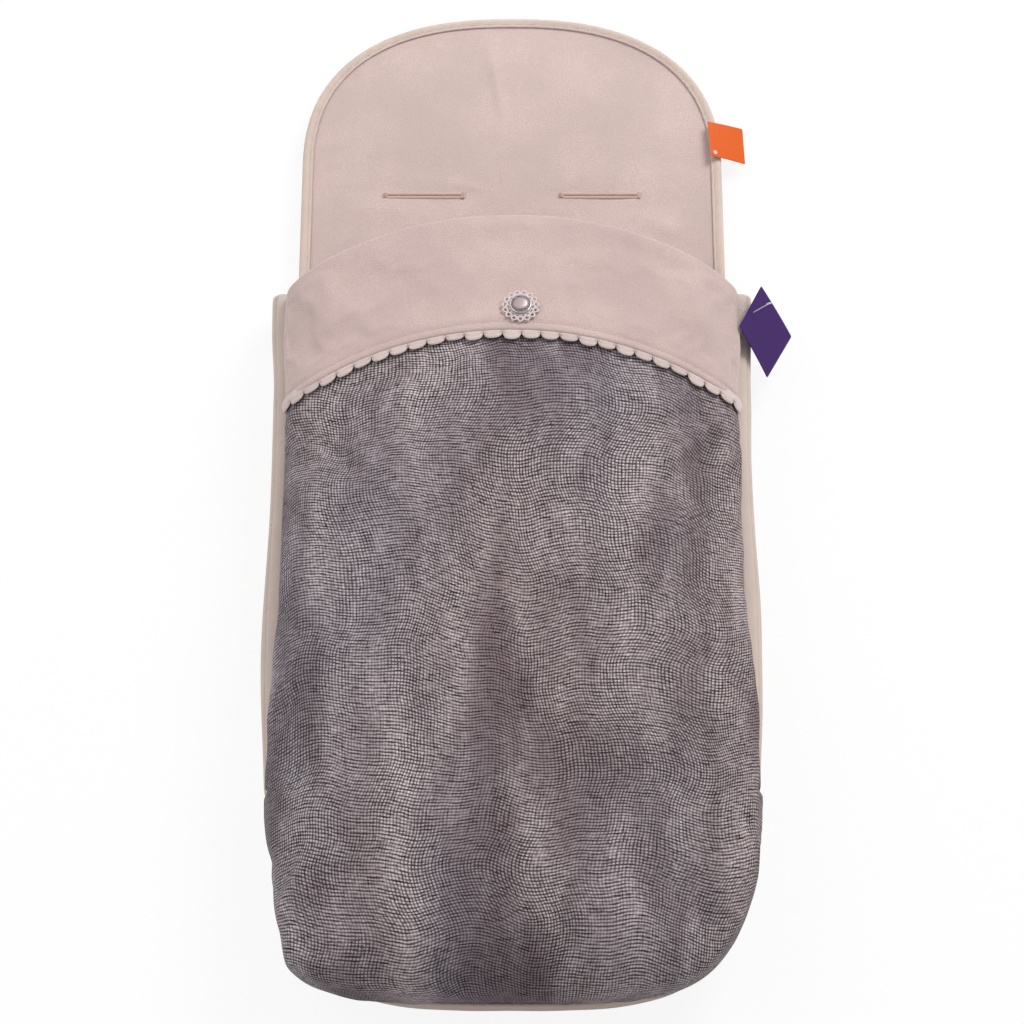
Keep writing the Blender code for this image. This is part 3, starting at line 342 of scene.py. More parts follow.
def tube(name, grid):
    """A mesh of closed rings carried along a path, one row of points a ring, capped."""
    return mesh_from(name, grid.reshape(-1, 3), tube_faces(*grid.shape[:2]))


def sleeve(name, grid):
    """A mesh of closed rings, one row of points a ring, without caps."""
    return mesh_from(name, grid.reshape(-1, 3), quads(ring_numbers(*grid.shape[:2])))


def torus_faces(rows, columns):
    """Faces of a grid that closes both ways."""
    numbers = ring_numbers(rows, columns)
    return quads(np.vstack([numbers, numbers[:1]])).tolist()


def copied(faces, size, count):
    """The faces of a small shape of a size in points, and those of all its copies after it."""
    faces = np.asarray(faces)
    shifts = size * np.arange(count)[:, None, None]
    return (faces[None] + shifts).reshape(-1, faces.shape[1]).tolist()


def sheet(name, grid):
    """A mesh of an open grid of points."""
    rows, columns = grid.shape[:2]
    return mesh_from(name, grid.reshape(-1, 3), quads(np.arange(rows * columns).reshape(rows, columns)))


def lifted(flat, height):
    """Points of a plane with a height, or a height each."""
    return np.concatenate([flat, np.broadcast_to(height, flat.shape[:-1])[..., None]], axis=-1)


def outward(mesh):
    """The mesh with its faces turned to point out."""
    shape = bmesh.new()
    shape.from_mesh(mesh)
    bmesh.ops.recalc_face_normals(shape, faces=shape.faces)
    shape.to_mesh(mesh)
    shape.free()
    return mesh


def unit(vectors):
    """Vectors of length 1."""
    return vectors / np.maximum(np.linalg.norm(vectors, axis=-1), 1e-12)[..., None]


def even_turn(count):
    """Angles of a full turn in even steps."""
    return np.linspace(0, 2 * np.pi, count + 1)[:-1]


def run_along(path):
    """Distances along a path of points: 0 at the first, then the sum of the steps so far."""
    return np.concatenate([[0], np.cumsum(np.linalg.norm(np.diff(path, axis=0), axis=1))])


def at_run(places, run, values):
    """Rows of values, read off at places along a run."""
    return np.stack([np.interp(places, run, column) for column in values.T], axis=-1)


def bell(value, middle, width):
    """1 at the middle, falling to 1/e a width away from it: exp(-((v - m) / w)^2)."""
    return np.exp(-(((value - middle) / width) ** 2))


def folds(x, y, lines):
    """Height of soft folds: along each line a bell across it, faded to nothing at its ends.

    Each line is (x0, y0, x1, y1, half width, height).
    """
    total = np.zeros_like(x)
    for x0, y0, x1, y1, width, height in lines:
        length = math.hypot(x1 - x0, y1 - y0)
        along = ((x - x0) * (x1 - x0) + (y - y0) * (y1 - y0)) / length**2
        across = ((x - x0) * (y1 - y0) - (y - y0) * (x1 - x0)) / length
        fade = np.clip(np.sin(np.pi * np.clip(along, 0, 1)), 0, 1) ** 0.7
        total += height * bell(across, 0, width) * fade
    return total


def ripple(x, y, seed, size):
    """A smooth uneven surface between -1 and 1: a sum of sines in fixed random directions."""
    random = np.random.default_rng(seed)
    turn = random.uniform(0, 2 * np.pi, 7)
    phase = random.uniform(0, 2 * np.pi, 7)
    pitch = size * random.uniform(0.7, 1.8, 7)
    waves = [
        np.sin(2 * np.pi * (x * math.cos(t) + y * math.sin(t)) / p + s)
        for t, p, s in zip(turn, pitch, phase)
    ]
    return sum(waves) / 3.5


print("helpers for meshes are ready")

# %% [markdown]
# Real padded cloth bulges between its seams. Blender's cloth solver does this: the sheet is held
# at its seams, grows a little, and a pressure pushes it out. A fixed displacement would be
# quicker, but it can't find where a full cloth puckers. Each point's way is capped, so that the
# sheet stays in the room its solid has. With no gravity the result depends on the seams alone.

# %% Letting a sheet bulge between its seams
SOLVER_FRAMES = 20


def bulged(points, faces, held, pressure, growth, cap):
    """The points of a sheet after the cloth solver, none further than cap from its start.

    held is 1 where a point is sewn down and 0 where it is free.
    """
    points = np.asarray(points, float)
    sheet = put("bulge", mesh_from("bulge", points, faces))
    group = sheet.vertex_groups.new(name="held")
    for share in np.unique(np.round(held, 2)):
        members = np.nonzero(np.round(held, 2) == share)[0]
        group.add(members.tolist(), float(share), "REPLACE")
    cloth = sheet.modifiers.new("cloth", "CLOTH")
    cloth.settings.quality = 4
    cloth.settings.mass = 0.3
    cloth.settings.tension_stiffness = 20
    cloth.settings.compression_stiffness = 20
    cloth.settings.shear_stiffness = 8
    cloth.settings.bending_stiffness = 1.5
    cloth.settings.air_damping = 2
    cloth.settings.vertex_group_mass = "held"
    cloth.settings.pin_stiffness = 1
    cloth.settings.shrink_min = -growth
    cloth.settings.use_pressure = True
    cloth.settings.uniform_pressure_force = pressure
    cloth.settings.effector_weights.gravity = 0
    cloth.collision_settings.use_collision = False
    cloth.point_cache.frame_start = 1
    cloth.point_cache.frame_end = SOLVER_FRAMES
    for number in range(1, SOLVER_FRAMES + 1):
        bpy.context.scene.frame_set(number)
    moved = as_mesh(sheet)
    ends = np.empty(len(moved.vertices) * 3)
    moved.vertices.foreach_get("co", ends)
    way = ends.reshape(-1, 3) - points
    far = np.linalg.norm(way, axis=1)
    bpy.data.objects.remove(sheet)
    bpy.context.scene.frame_set(1)
    print("bulge: mean", round(far.mean() * 1000, 2), "mm, most", round(far.max() * 1000, 2), "mm")
    return points + way * (np.tanh(far / cap) * cap / np.maximum(far, 1e-9))[:, None]

# %% [markdown]
# The sizes below are those of the CAD model, in metres, because the cloth has to lie where its
# solids are. The cover is widest at a shoulder line. Above it the section is a superellipse,
# which is rounder than a box and fuller than an ellipse, and below it draws in to the zip.

# %% Sizes of the cover and the toe box
FOLD_Y = -0.290
COVER_LENGTH = 0.443
MOUTH_ARC = 0.053
FOLD_WIDTH, MOUTH_WIDTH = 0.391, 0.365
FOLD_HEIGHT, MOUTH_HEIGHT = 0.118, 0.096
CREST = 0.008
FOLD_SHOULDER, MOUTH_SHOULDER = 0.072, 0.064
DOME_POWER = 2.2
WALL_POWER = 1.1
SEAM_X, SEAM_Z = 0.1725, 0.04675
SLIDER_ROOM = 0.016  # how far the wall stays off the zip where the slider ends its run
MOUTH_Y = FOLD_Y + COVER_LENGTH
HEM = 0.005
SEAT = 0.0181
BACK_HALF = 0.1825
HEAD_Y, HEAD_ROUND, HEAD_POWER = 0.300, 0.1525, 2.42
FOOT_ROUND, FOOT_POWER = 0.160, 3.5
FOOT_BULGE = 0.006
TOE_POWER = 5.1  # the stuffed corners are squarer than the panel's
TOE_WAIST, TOE_CORNER = 0.055, 0.040  # on the left the side draws in, then the corner stands out
TOE_TAPER = 0.100  # on the right the side draws in all the way, as a share of the width
TOE_FULLNESS = 0.7


def eased(value, low, high):
    """0 below low, 1 above high, and 3s^2 - 2s^3 between, s the share of the way."""
    share = np.clip((value - low) / (high - low), 0, 1)
    return share * share * (3 - 2 * share)


def dome(across, y):
    """Points of the cover's outer face. across is 0 at the crest, 1 at the widest line and 2 at
    the zip: half width times sin^(2/n), shoulder plus rise times cos^(2/n), then a wall that
    draws in by (1 - d^m)^(1/m), d its share of the way down. Near the fold it draws in less."""
    side = np.clip((y - FOLD_Y) / COVER_LENGTH, 0, 1)
    run = (y - FOLD_Y) / (COVER_LENGTH + MOUTH_ARC)
    half = (FOLD_WIDTH - (FOLD_WIDTH - MOUTH_WIDTH) * side**1.5) / 2
    shoulder = FOLD_SHOULDER + (MOUTH_SHOULDER - FOLD_SHOULDER) * side
    top = FOLD_HEIGHT + CREST * np.sin(np.pi * run) - (FOLD_HEIGHT - MOUTH_HEIGHT) * run**4
    angle = np.clip(np.abs(across), 0, 1) * np.pi / 2
    reach = half * np.sin(angle) ** (2 / DOME_POWER)
    rise = (top - shoulder) * np.clip(np.cos(angle), 0, 1) ** (2 / DOME_POWER)
    down = np.clip(np.abs(across) - 1, 0, 1)
    seam = SEAM_X + SLIDER_ROOM * (1 - eased(y - FOLD_Y, 0.020, 0.050))
    wall = seam + (half - seam) * (1 - down**WALL_POWER) ** (1 / WALL_POWER)
    x = np.where(np.abs(across) > 1, wall, reach) * np.sign(across)
    return np.stack([x, y + 0 * x, shoulder + rise - (shoulder - SEAM_Z) * down], axis=-1)


def mouth_line(across):
    """How far the cover reaches along Y: an arc that is highest at the crest."""
    share = np.sin(np.clip(np.abs(across), 0, 1) * np.pi / 2) ** (4 / DOME_POWER)
    return MOUTH_Y + MOUTH_ARC * (1 - share)


def superellipse(count, across, along, power):
    """Half a superellipse from +X round to -X as count points of even spacing."""
    angle = np.linspace(0, np.pi, 4000)
    x = across * np.sign(np.cos(angle)) * np.abs(np.cos(angle)) ** (2 / power)
    y = along * np.abs(np.sin(angle)) ** (2 / power)
    run = np.concatenate([[0], np.cumsum(np.hypot(np.diff(x), np.diff(y)))])
    even = np.linspace(0, run[-1], count)
    return np.interp(even, run, x), np.interp(even, run, y)


def toe(count, rings):
    """Points of the toe box from its crest outwards, each ring from the left round the foot.

    Up to 1 a ring is the widest outline times sin^(2/n) at a height that falls by cos^(2/n).
    The power n grows towards the foot's middle, where the box is stuffed fullest. From 1 to 2
    the wall draws in to the back panel's outline with the cube of its way down.
    """
    reach = FOOT_ROUND + FOOT_BULGE
    wide_x, wide_y = superellipse(count, FOLD_WIDTH / 2, reach, TOE_POWER)
    way = wide_y / reach
    left = TOE_WAIST * eased(way, 0.10, 0.55) - TOE_CORNER * eased(way, 0.70, 0.90)
    wide_x = wide_x * (1 - np.where(wide_x > 0, left, TOE_TAPER * eased(way, 0.15, 0.95)))
    base_x, base_y = superellipse(count, BACK_HALF, FOOT_ROUND, FOOT_POWER)
    ring = np.asarray(rings)[:, None]
    angle = np.clip(ring, 0, 1) * np.pi / 2
    power = DOME_POWER + TOE_FULLNESS * eased(way, 0.2, 1.0)[None]
    share = np.sin(angle) ** (2 / power)
    rise = (FOLD_HEIGHT - FOLD_SHOULDER) * np.clip(np.cos(angle), 0, 1) ** (2 / power)
    down = np.clip(ring - 1, 0, 1)
    kept = 1 - down**3
    x = np.where(ring > 1, base_x + kept * (wide_x - base_x), share * wide_x)
    y = np.where(ring > 1, base_y + kept * (wide_y - base_y), share * wide_y)
    z = FOLD_SHOULDER + rise - down * (FOLD_SHOULDER - SEAT)
    return np.stack([-x, FOLD_Y - y, z + 0 * x], axis=-1)


print("cover and toe box share", round(FOLD_WIDTH * 1000), "mm at the fold")

# %% [markdown]
# One grey cloth covers the legs and the foot. Its grid has columns across the cover, and round
# the toe box the same lines run on as rings, so that cloth and print pass the fold unbroken.
# Only the two walls are split there, as on the real cover, whose zips end at the fold. A flat
# place for every point, measured along the cloth, carries the print over crest and corners.

# %% One grid for cover and toe box
WALL_STEPS = 9


def cover_reach(across):
    """How far each column of the cover reaches along Y, up to the roll at the mouth."""
    return mouth_line(across) - 2 * HEM


def cloth_grid(half_columns, rows, around):
    """Points, faces, flat places and marks of the cloth over cover and toe box.

    The marks are the column's place across and the row's share from the fold (0) to the mouth
    (1), or to the foot's seam (-1).
    """
    dome_half = np.linspace(0, 1, half_columns + 1)
    wall = np.linspace(1, 2, WALL_STEPS + 1)[1:]
    half = np.concatenate([dome_half, wall])
    count = len(half)
    columns = np.concatenate([-half[:0:-1], half])
    share = np.linspace(0, 1, rows)[:, None]
    across = np.broadcast_to(columns, (rows, len(columns)))
    y = FOLD_Y + share * (cover_reach(across) - FOLD_Y)
    top = dome(across, y)

    reach = run_along(dome(half[None, :], np.full((1, count), FOLD_Y))[0])
    flat_x = np.sign(columns) * np.interp(np.abs(columns), half, reach)
    flat_top = np.stack([np.broadcast_to(flat_x, across.shape), y], axis=-1)

    ring_places = np.concatenate([dome_half[1:], wall])
    foot = toe(around, ring_places)
    centre = dome(np.array([0.0]), np.array([FOLD_Y]))
    rays = np.concatenate([np.broadcast_to(centre, foot[:1].shape), foot])
    reached = np.cumsum(np.linalg.norm(np.diff(rays, axis=0), axis=-1), axis=0)
    way = unit(foot[half_columns - 1, :, :2] - centre[:, :2])
    flat_foot = np.array([0, FOLD_Y]) + reached[..., None] * way[None]

    middle = count - 1
    numbers = np.arange(rows * len(columns)).reshape(rows, len(columns))
    foot_numbers = numbers.size + np.arange(foot.shape[0] * around).reshape(foot.shape[0], around)
    shared = np.arange(1, half_columns + 1)
    foot_numbers[:half_columns, 0] = numbers[0, middle - shared]
    foot_numbers[:half_columns, -1] = numbers[0, middle + shared]
    points = np.vstack([top.reshape(-1, 3), foot.reshape(-1, 3)])
    flat = np.vstack([flat_top.reshape(-1, 2), flat_foot.reshape(-1, 2)])
    marks_top = np.stack([across, np.broadcast_to(share, across.shape)], axis=-1)
    turn = np.linspace(-1, 1, around)
    ring_mark = np.broadcast_to(-ring_places[:, None] / 2, foot.shape[:2])
    marks_foot = np.stack([np.broadcast_to(turn, foot.shape[:2]), ring_mark], axis=-1)
    marks = np.vstack([marks_top.reshape(-1, 2), marks_foot.reshape(-1, 2)])
    faces = quads(numbers).tolist() + quads(foot_numbers)[:, ::-1].tolist()
    centre_number = numbers[0, middle]
    faces += [[centre_number, a, b] for a, b in zip(foot_numbers[0, :-1], foot_numbers[0, 1:])]

    used = np.zeros(len(points), bool)
    used[np.concatenate([np.ravel(face) for face in faces])] = True
    renumbered = np.cumsum(used) - 1
    faces = [[int(renumbered[c]) for c in face] for face in faces]
    return points[used], faces, flat[used], marks[used]

# %% [markdown]
# The footmuff is made of velour, of plain weaves and of a printed cloth. The velour has a short
# pile: a fine grain breaks up the light and sheen brightens it where the surface turns away, and
# broad patches show where the pile has been stroked the other way. Hair particles would give a
# truer edge but cost far more.


# %% Velour
def dimmed(colour, share):
    """A colour at a share of its brightness."""
    return tuple(c * share for c in colour)


def velour(name, colour):
    """Short pile: colour patches, fine grain in colour, and two sizes of bump."""
    made = Finish(name, 0.92, sheen=0.35)
    place = made.place()
    stroked = made.noise(place, 14, 3, 0.55).eased(0.35, 0.68)
    speck = made.noise(place, 900, 2, 0.6).eased(0.3, 0.7)
    pile = made.mixed(stroked, dimmed(colour, 0.90), dimmed(colour, 1.05))
    made.feed(base_color=made.mixed(speck * 0.75 + 0.25, dimmed(colour, 0.80), pile))
    height = speck * 0.5 + made.noise(place, 2200, 1, 0.5) * 0.3 + made.noise(place, 120, 3) * 0.5
    made.raised(height, 0.0006, 0.7)
    return made


VELOUR = velour("velour_lining", (0.660, 0.510, 0.475))
CUFF_VELOUR = velour("velour_cuff", (0.618, 0.465, 0.437))
print("two velours")

# %% [markdown]
# The side bands, the binding and the underside are a plain woven cloth. Two crossed sine waves
# make its threads, and a slow noise shifts them a little so that the weave isn't drawn by ruler.
# Where the threads dip the colour is darker, as painted shade between them.


# %% Plain weave
def weave(name, colour, pitch=0.0007):
    """Threads both ways: sines of the place on the cloth, the higher thread on top, and painted shade where
    they dip.
    """
    made = Finish(name, 0.85, sheen=0.15)
    place = made.place()
    x, y, z = made.parts(place)
    wander = made.noise(place, 60, 2) * 0.0006
    turns = 2 * math.pi / pitch
    warp = ((x + z * 0.7 + wander) * turns).wave()
    weft = ((y + z * 0.3 + wander) * turns).wave()
    thread = (warp * weft) * 0.5 + 0.5
    worn = made.noise(place, 22, 4, 0.6).eased(0.3, 0.72)
    cloth = made.mixed(worn, dimmed(colour, 0.88), colour)
    # Painted shade: the colour darkens where the threads dip between each other.
    made.feed(base_color=made.mixed(thread * 0.7 + 0.3, dimmed(colour, 0.72), cloth))
    made.raised(thread * 0.7 + made.noise(place, 180, 3) * 0.6, 0.00035, 0.6)
    return made


CREAM = weave("cream_cloth", (0.740, 0.610, 0.540))
BINDING = weave("binding_cloth", (0.800, 0.640, 0.560), 0.0005)
print("cream cloths")

# %% [markdown]
# The grey cloth carries an all-over reptile print: a net of dark, wavering lines with pale oval
# cells between them. The lines lie about 2.6 mm apart both ways. They are the level lines
# of the flat coordinates after slow noises have pushed these about. A picture of the cloth would
# be easier but would repeat, and a formula stays sharp at any size. Broad noises make the cells
# brighter in places, most of all left of the middle, and a band down the middle darker. The
# foot's wall is drawn darker as painted shade.

# %% Reptile print
PRINT_PITCH = 0.0026
PRINT = Finish("reptile_print", 0.62, gloss=0.15)


def print_net(made):
    """Flat place, and shade of the print between 0 (cell) and 1 (line)."""
    u, v, _ = made.parts(made.pattern())
    flat = made.joined(u, v)
    push_v = made.streaks(flat, (8.5, 2.2), 1.5, 0.45) - 0.5
    push_u = made.streaks(flat, (2.4, 9.0), 1.5, 0.45) - 0.5
    shiver_v = made.streaks(flat, (110.0, 190.0), 2.0) - 0.5
    shiver_u = made.streaks(flat, (190.0, 80.0), 2.0) - 0.5
    along = (v + push_v * 0.080 + u * 0.03 + shiver_v * 0.0019) / PRINT_PITCH
    across = (u + push_u * 0.085 + shiver_u * 0.0019) / (PRINT_PITCH * 1.03)
    row = (along.fraction() - 0.5).absolute() * 2
    column = (across.fraction() - 0.5).absolute() * 2
    thick = made.streaks(flat, (70.0, 330.0), 2.0).eased(0.30, 0.62)
    rows = row.eased(0.12, 0.86) * (thick * 0.45 + 0.55)
    faint = made.streaks(flat, (16.0, 9.0), 3.0, 0.6).eased(0.38, 0.60)
    broken = made.streaks(flat, (330.0, 80.0), 2.0).eased(0.30, 0.62)
    columns = column.eased(0.18, 0.90) * (faint * 0.45 + 0.25 + broken * 0.25)
    net = 1 - (1 - rows) * (1 - columns)
    return flat, net


flat_place, net = print_net(PRINT)
sideways, lengthways, _ = PRINT.parts(PRINT.pattern())
left_light = (((sideways + 0.085) * 22.0) ** 2.0 + 1.0) ** -1.0
middle_shade = (((sideways + 0.008) * 45.0) ** 2.0 + 1.0) ** -1.0
# Painted shade: the foot's wall, which turns away from the lamps, is drawn darker.
foot_shade = (lengthways * -1.0).eased(0.425, 0.505)
patchy = PRINT.streaks(flat_place, (15.0, 5.5), 4.0, 0.62).eased(0.36, 0.66)
bright = patchy * 0.80 + left_light * 0.30 - middle_shade * 0.25 - foot_shade * 0.35
spotty = PRINT.streaks(flat_place, (300.0, 330.0), 2.0, 0.5).eased(0.30, 0.62)
broad = PRINT.streaks(flat_place, (7.0, 2.6), 2.0).eased(0.34, 0.66)
shine = (bright * 0.78 + 0.10) * (spotty * 0.60 + 0.40)
cell = PRINT.mixed(shine, (0.290, 0.228, 0.240), (0.950, 0.866, 0.884))
warm = PRINT.mixed(broad, (0.74, 0.78, 0.86), (1.0, 0.88, 0.85))
multiplied = {"data_type": "RGBA", "blend_type": "MULTIPLY"}
cell = PRINT.node("ShaderNodeMix", multiplied, {0: 0.5, 6: cell, 7: warm}, 2)
line = PRINT.mixed(broad, (0.030, 0.019, 0.025), (0.020, 0.012, 0.015))
strokes = PRINT.streaks(flat_place, (55.0, 640.0), 1.0).eased(0.635, 0.70)
cuts = PRINT.streaks(flat_place, (640.0, 75.0), 1.0).eased(0.645, 0.71)
inked = (net * 0.95 + strokes * 0.35 + cuts * 0.25).least(1.0)
PRINT.feed(base_color=PRINT.mixed(inked, cell, line))
PRINT.feed(roughness=PRINT.noise(flat_place, 400, 2) * 0.2 + 0.55 + net * 0.12)
PRINT.raised((1 - net) * 0.5 + PRINT.noise(flat_place, 1500, 2) * 0.4, 0.00035, 0.5)
print("print pitch", PRINT_PITCH * 1000, "mm")

# %% [markdown]
# The small parts each get their own finish. Plated metal is bright with faint wear, the cap is
# satin, its little stones are dark and glossy, the crochet is twisted cotton, the cards are coated
# paper with a faint fibre and scuffs, and the zip is a herringbone tape with moulded teeth.

# %% Metal, stones, yarn, cards and zip
METAL = Finish("plated_metal", 0.24, metallic=1.0)
where = METAL.place()
wear = METAL.noise(where, 260, 4, 0.65).eased(0.42, 0.75)
METAL.feed(base_color=METAL.mixed(wear, (0.74, 0.71, 0.71), (0.56, 0.53, 0.53)))
METAL.feed(roughness=wear * 0.22 + METAL.noise(where, 2500, 2) * 0.10 + 0.14)
METAL.raised(METAL.noise(where, 1600, 3), 0.00008, 0.4)

STONE = Finish("cap_stones", 0.10, coat=0.6)
where = STONE.place()
facet = STONE.node("ShaderNodeTexVoronoi", {"feature": "F1"}, {"Vector": where, "Scale": 900.0})
tint = facet.eased(0.1, 0.7)
STONE.feed(base_color=STONE.mixed(tint, (0.46, 0.39, 0.40), (0.20, 0.16, 0.17)))
STONE.feed(metallic=tint * 0.5 + 0.3)
STONE.raised(facet, 0.0003, 0.8)

SATIN = Finish("satin_cap", 0.42, metallic=0.55, coat=0.2)
where = SATIN.place()
brushed = SATIN.noise(SATIN.stretched(where, (1.0, 6.0, 1.0)), 900, 3, 0.6)
SATIN.feed(base_color=SATIN.mixed(brushed.eased(0.3, 0.7), (0.43, 0.345, 0.345), (0.52, 0.42, 0.42)))
SATIN.feed(roughness=brushed * 0.2 + 0.32)
SATIN.raised(brushed, 0.00006, 0.5)


def yarn(name, colour, pitch):
    """Twisted thread: slanting stripes along the place, shaded between the strands."""
    made = Finish(name, 0.9, sheen=0.25)
    place = made.place()
    x, y, z = made.parts(place)
    twist = ((x * 0.8 + y + z * 0.6) * (2 * math.pi / pitch)).wave() * 0.5 + 0.5
    fuzz = made.noise(place, 3000, 2)
    made.feed(base_color=made.mixed(twist * 0.5 + fuzz * 0.4 + 0.25, dimmed(colour, 0.62), colour))
    made.raised(twist * 0.7 + fuzz * 0.5, 0.0002, 0.7)
    return made


LACE = yarn("crochet_cotton", (0.80, 0.690, 0.690), 0.0009)
THREAD = yarn("sewing_thread", (0.66, 0.54, 0.47), 0.0006)
TRIM = weave("scallop_cloth", (0.800, 0.655, 0.615), 0.0005)


def card(name, colour, light):
    """Coated card: faint fibre, soft scuffs and a slightly uneven gloss."""
    made = Finish(name, 0.5, gloss=0.12)
    place = made.place()
    fibre = made.noise(made.stretched(place, (1.0, 3.0, 1.0)), 500, 4, 0.65)
    scuff = made.noise(place, 85, 4, 0.7).eased(0.55, 0.80)
    base = made.mixed(fibre.eased(0.3, 0.7), dimmed(colour, 0.86), colour)
    made.feed(base_color=made.mixed(scuff * 0.12, base, light))
    made.feed(roughness=scuff * 0.25 + fibre * 0.15 + 0.42)
    made.raised(fibre, 0.00006, 0.5)
    return made


ORANGE_CARD = card("orange_card", (0.740, 0.124, 0.018), (0.95, 0.45, 0.25))
PURPLE_CARD = card("purple_card", (0.050, 0.014, 0.130), (0.20, 0.13, 0.32))

NYLON = Finish("clear_nylon", 0.22)
NYLON.shader.inputs["Transmission Weight"].default_value = 0.55
NYLON.shader.inputs["IOR"].default_value = 1.5
where = NYLON.place()
cloud = NYLON.noise(where, 700, 3)
NYLON.feed(base_color=NYLON.mixed(cloud, (0.86, 0.84, 0.88), (0.96, 0.95, 0.97)))
NYLON.raised(cloud, 0.00005, 0.5)

ZIP = Finish("zip_tape_and_teeth", 0.6, sheen=0.1)
where = ZIP.place()
x, y, z = ZIP.parts(where)
chevron = ((x * 1400).wave() * 0.6 + y * 5200 + z * 900).wave() * 0.5 + 0.5
grime = ZIP.noise(where, 90, 4, 0.6)
threads = ZIP.mixed(chevron * 0.7 + 0.3, (0.40, 0.33, 0.28), (0.62, 0.54, 0.47))
ZIP.feed(base_color=ZIP.mixed(grime.eased(0.45, 0.8) * 0.4, threads, (0.44, 0.37, 0.32)))
ZIP.raised(chevron * 0.6 + ZIP.noise(where, 900, 2) * 0.4, 0.0002, 0.5)
print("small finishes are ready")

# %% [markdown]
# The grey cloth is sewn down under the cuff, along both zips and round the foot, and is free
# between. Past the solver's bulge it gets slack waves and the folds that the photograph shows:
# small tucks at the two foot corners, and gathers where the cloth is eased into the foot seam.

# %% Grey cloth over legs and foot
CUFF_DEPTH = 0.122
SLACK, FINE_SLACK = 0.0013, 0.0005
GATHER = 0.0011
TUCK, TUCK_PLACE, TUCK_HALF = 0.0042, 0.545, 0.012
SWELL_RIGHT, SWELL_LEFT = 0.0058, -0.0036
SWELL_Y, SWELL_HALF = -0.235, 0.095
GREY_WALL = 0.0042


def vertex_normals(points, faces):
    """Unit normals of the points of a surface."""
    mesh = mesh_from("normals", points, faces)
    normals = np.empty(len(points) * 3)
    mesh.vertices.foreach_get("normal", normals)
    bpy.data.meshes.remove(mesh)
    return normals.reshape(-1, 3)


def sewn_down(points, marks):
    """1 at the cuff, the zips and the foot seam, easing to 0 away from them."""
    column, row = marks.T
    over_legs = row >= 0
    under_cuff = eased(points[:, 1] - mouth_line(np.where(over_legs, column, 0)) + CUFF_DEPTH, -0.03, 0.002)
    at_zip = eased(np.abs(column), 1.25, 1.85)
    at_foot = eased(-row, 0.80, 0.985)
    return np.where(over_legs, np.maximum(under_cuff, at_zip), at_foot)


points, faces, flat, marks = cloth_grid(44, 74, 118)
print("grey cloth:", len(points), "points,", len(faces), "faces")
held = sewn_down(points, marks)
normals = vertex_normals(points, faces)
points = bulged(points, faces, held, pressure=4, growth=0.02, cap=0.007)
x, y = flat.T
slack = SLACK * ripple(x, y, 3, 0.13) + FINE_SLACK * ripple(x * 1.4, y, 8, 0.04)
turn, row = marks.T
at_foot = row < 0
near_seam = np.where(at_foot, eased(-row, 0.72, 0.93), 0)
gathers = near_seam * GATHER * (np.sin(turn * 97) * np.sin(turn * 41 + 1.0) + 0.4 * np.sin(turn * 173))
tuck = -TUCK * bell(np.abs(turn), TUCK_PLACE, TUCK_HALF) * near_seam * at_foot
swell = bell(points[:, 1], SWELL_Y, SWELL_HALF) * eased(np.abs(points[:, 0]), 0.11, 0.19)
points[:, 0] += swell * np.where(points[:, 0] > 0, SWELL_RIGHT, SWELL_LEFT)
lift = slack * (1 - held) + (gathers + tuck) * at_foot * (1 - eased(-row, 0.97, 1.0))
points = points + normals * lift[:, None]
grey = piece("cover_cloth", mesh_from("cover_cloth", points, faces, flat), PRINT)
walled(grey, GREY_WALL)
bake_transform(grey)
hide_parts("cover_shell", "cover_wadding", "toe_shell", "toe_wadding")
print("cover cloth", [round(v, 3) for v in points.min(0)], [round(v, 3) for v in points.max(0)])

# %% [markdown]
# Inside, the sack is lined with the same velour as the back. It follows the grey cloth a few
# millimetres further in and meets it at the seams. Only an open cover shows it, so its grid is
# coarser.

# %% Sack lining
LINING_DEPTH, LINING_WALL = 0.0084, 0.0022
points, faces, flat, marks = cloth_grid(24, 40, 64)
normals = vertex_normals(points, faces)
edge = np.where(marks[:, 1] >= 0, eased(np.abs(marks[:, 0]), 1.7, 2.0), eased(-marks[:, 1], 0.9, 1.0))
depth = LINING_DEPTH - 0.0036 * edge + 0.0006 * ripple(flat[:, 0], flat[:, 1], 5, 0.09)
lining = mesh_from("sack_lining", points - normals * depth[:, None], faces, flat)
lining = piece("sack_lining", lining, VELOUR)
walled(lining, LINING_WALL)
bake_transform(lining)
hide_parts("cover_lining", "toe_lining")
print("sack lining", len(faces), "faces")

# %% [markdown]
# The back is a padded panel: velour over wadding, with the outer cloth below. Its rings run
# from the outline in to a spine along the middle, and the wadding lifts the middle over the flat
# rim. A plain grid of squares would leave a ragged rim.

# %% Outline of the back panel
RIM_TOP = 0.0178
PLUSH_WALL = 0.0025
RIM_FLAT = 0.012
CROWN_RUN = 0.055
BACK_CROWN = 0.005
SPINE_HALF = 0.27
HARNESS_Y = 0.269
HARNESS_X = 0.077
CROTCH_Y = -0.070


def head_arc(count):
    """The panel's outline round the head end, from +X to -X."""
    x, y = superellipse(count, BACK_HALF, HEAD_ROUND, HEAD_POWER)
    return np.stack([x, HEAD_Y + y], axis=-1)


def foot_arc(count):
    """The panel's outline round the foot end, from -X to +X."""
    x, y = superellipse(count, BACK_HALF, FOOT_ROUND, FOOT_POWER)
    return np.stack([-x, FOLD_Y - y], axis=-1)


def back_outline(head_count=97, foot_count=81, side_count=64):
    """The panel's outline, counter-clockwise from +X: head end, left side, foot end, right side."""
    side = np.linspace(HEAD_Y, FOLD_Y, side_count + 2)[1:-1]
    left = np.stack([np.full(side_count, -BACK_HALF), side], axis=-1)
    return np.vstack([head_arc(head_count), left, foot_arc(foot_count), left[::-1] * (-1, 1)])


def out_of(outline):
    """Unit normals of a closed outline that runs counter-clockwise."""
    step = np.roll(outline, -1, axis=0) - np.roll(outline, 1, axis=0)
    return unit(np.stack([step[:, 1], -step[:, 0]], axis=-1))


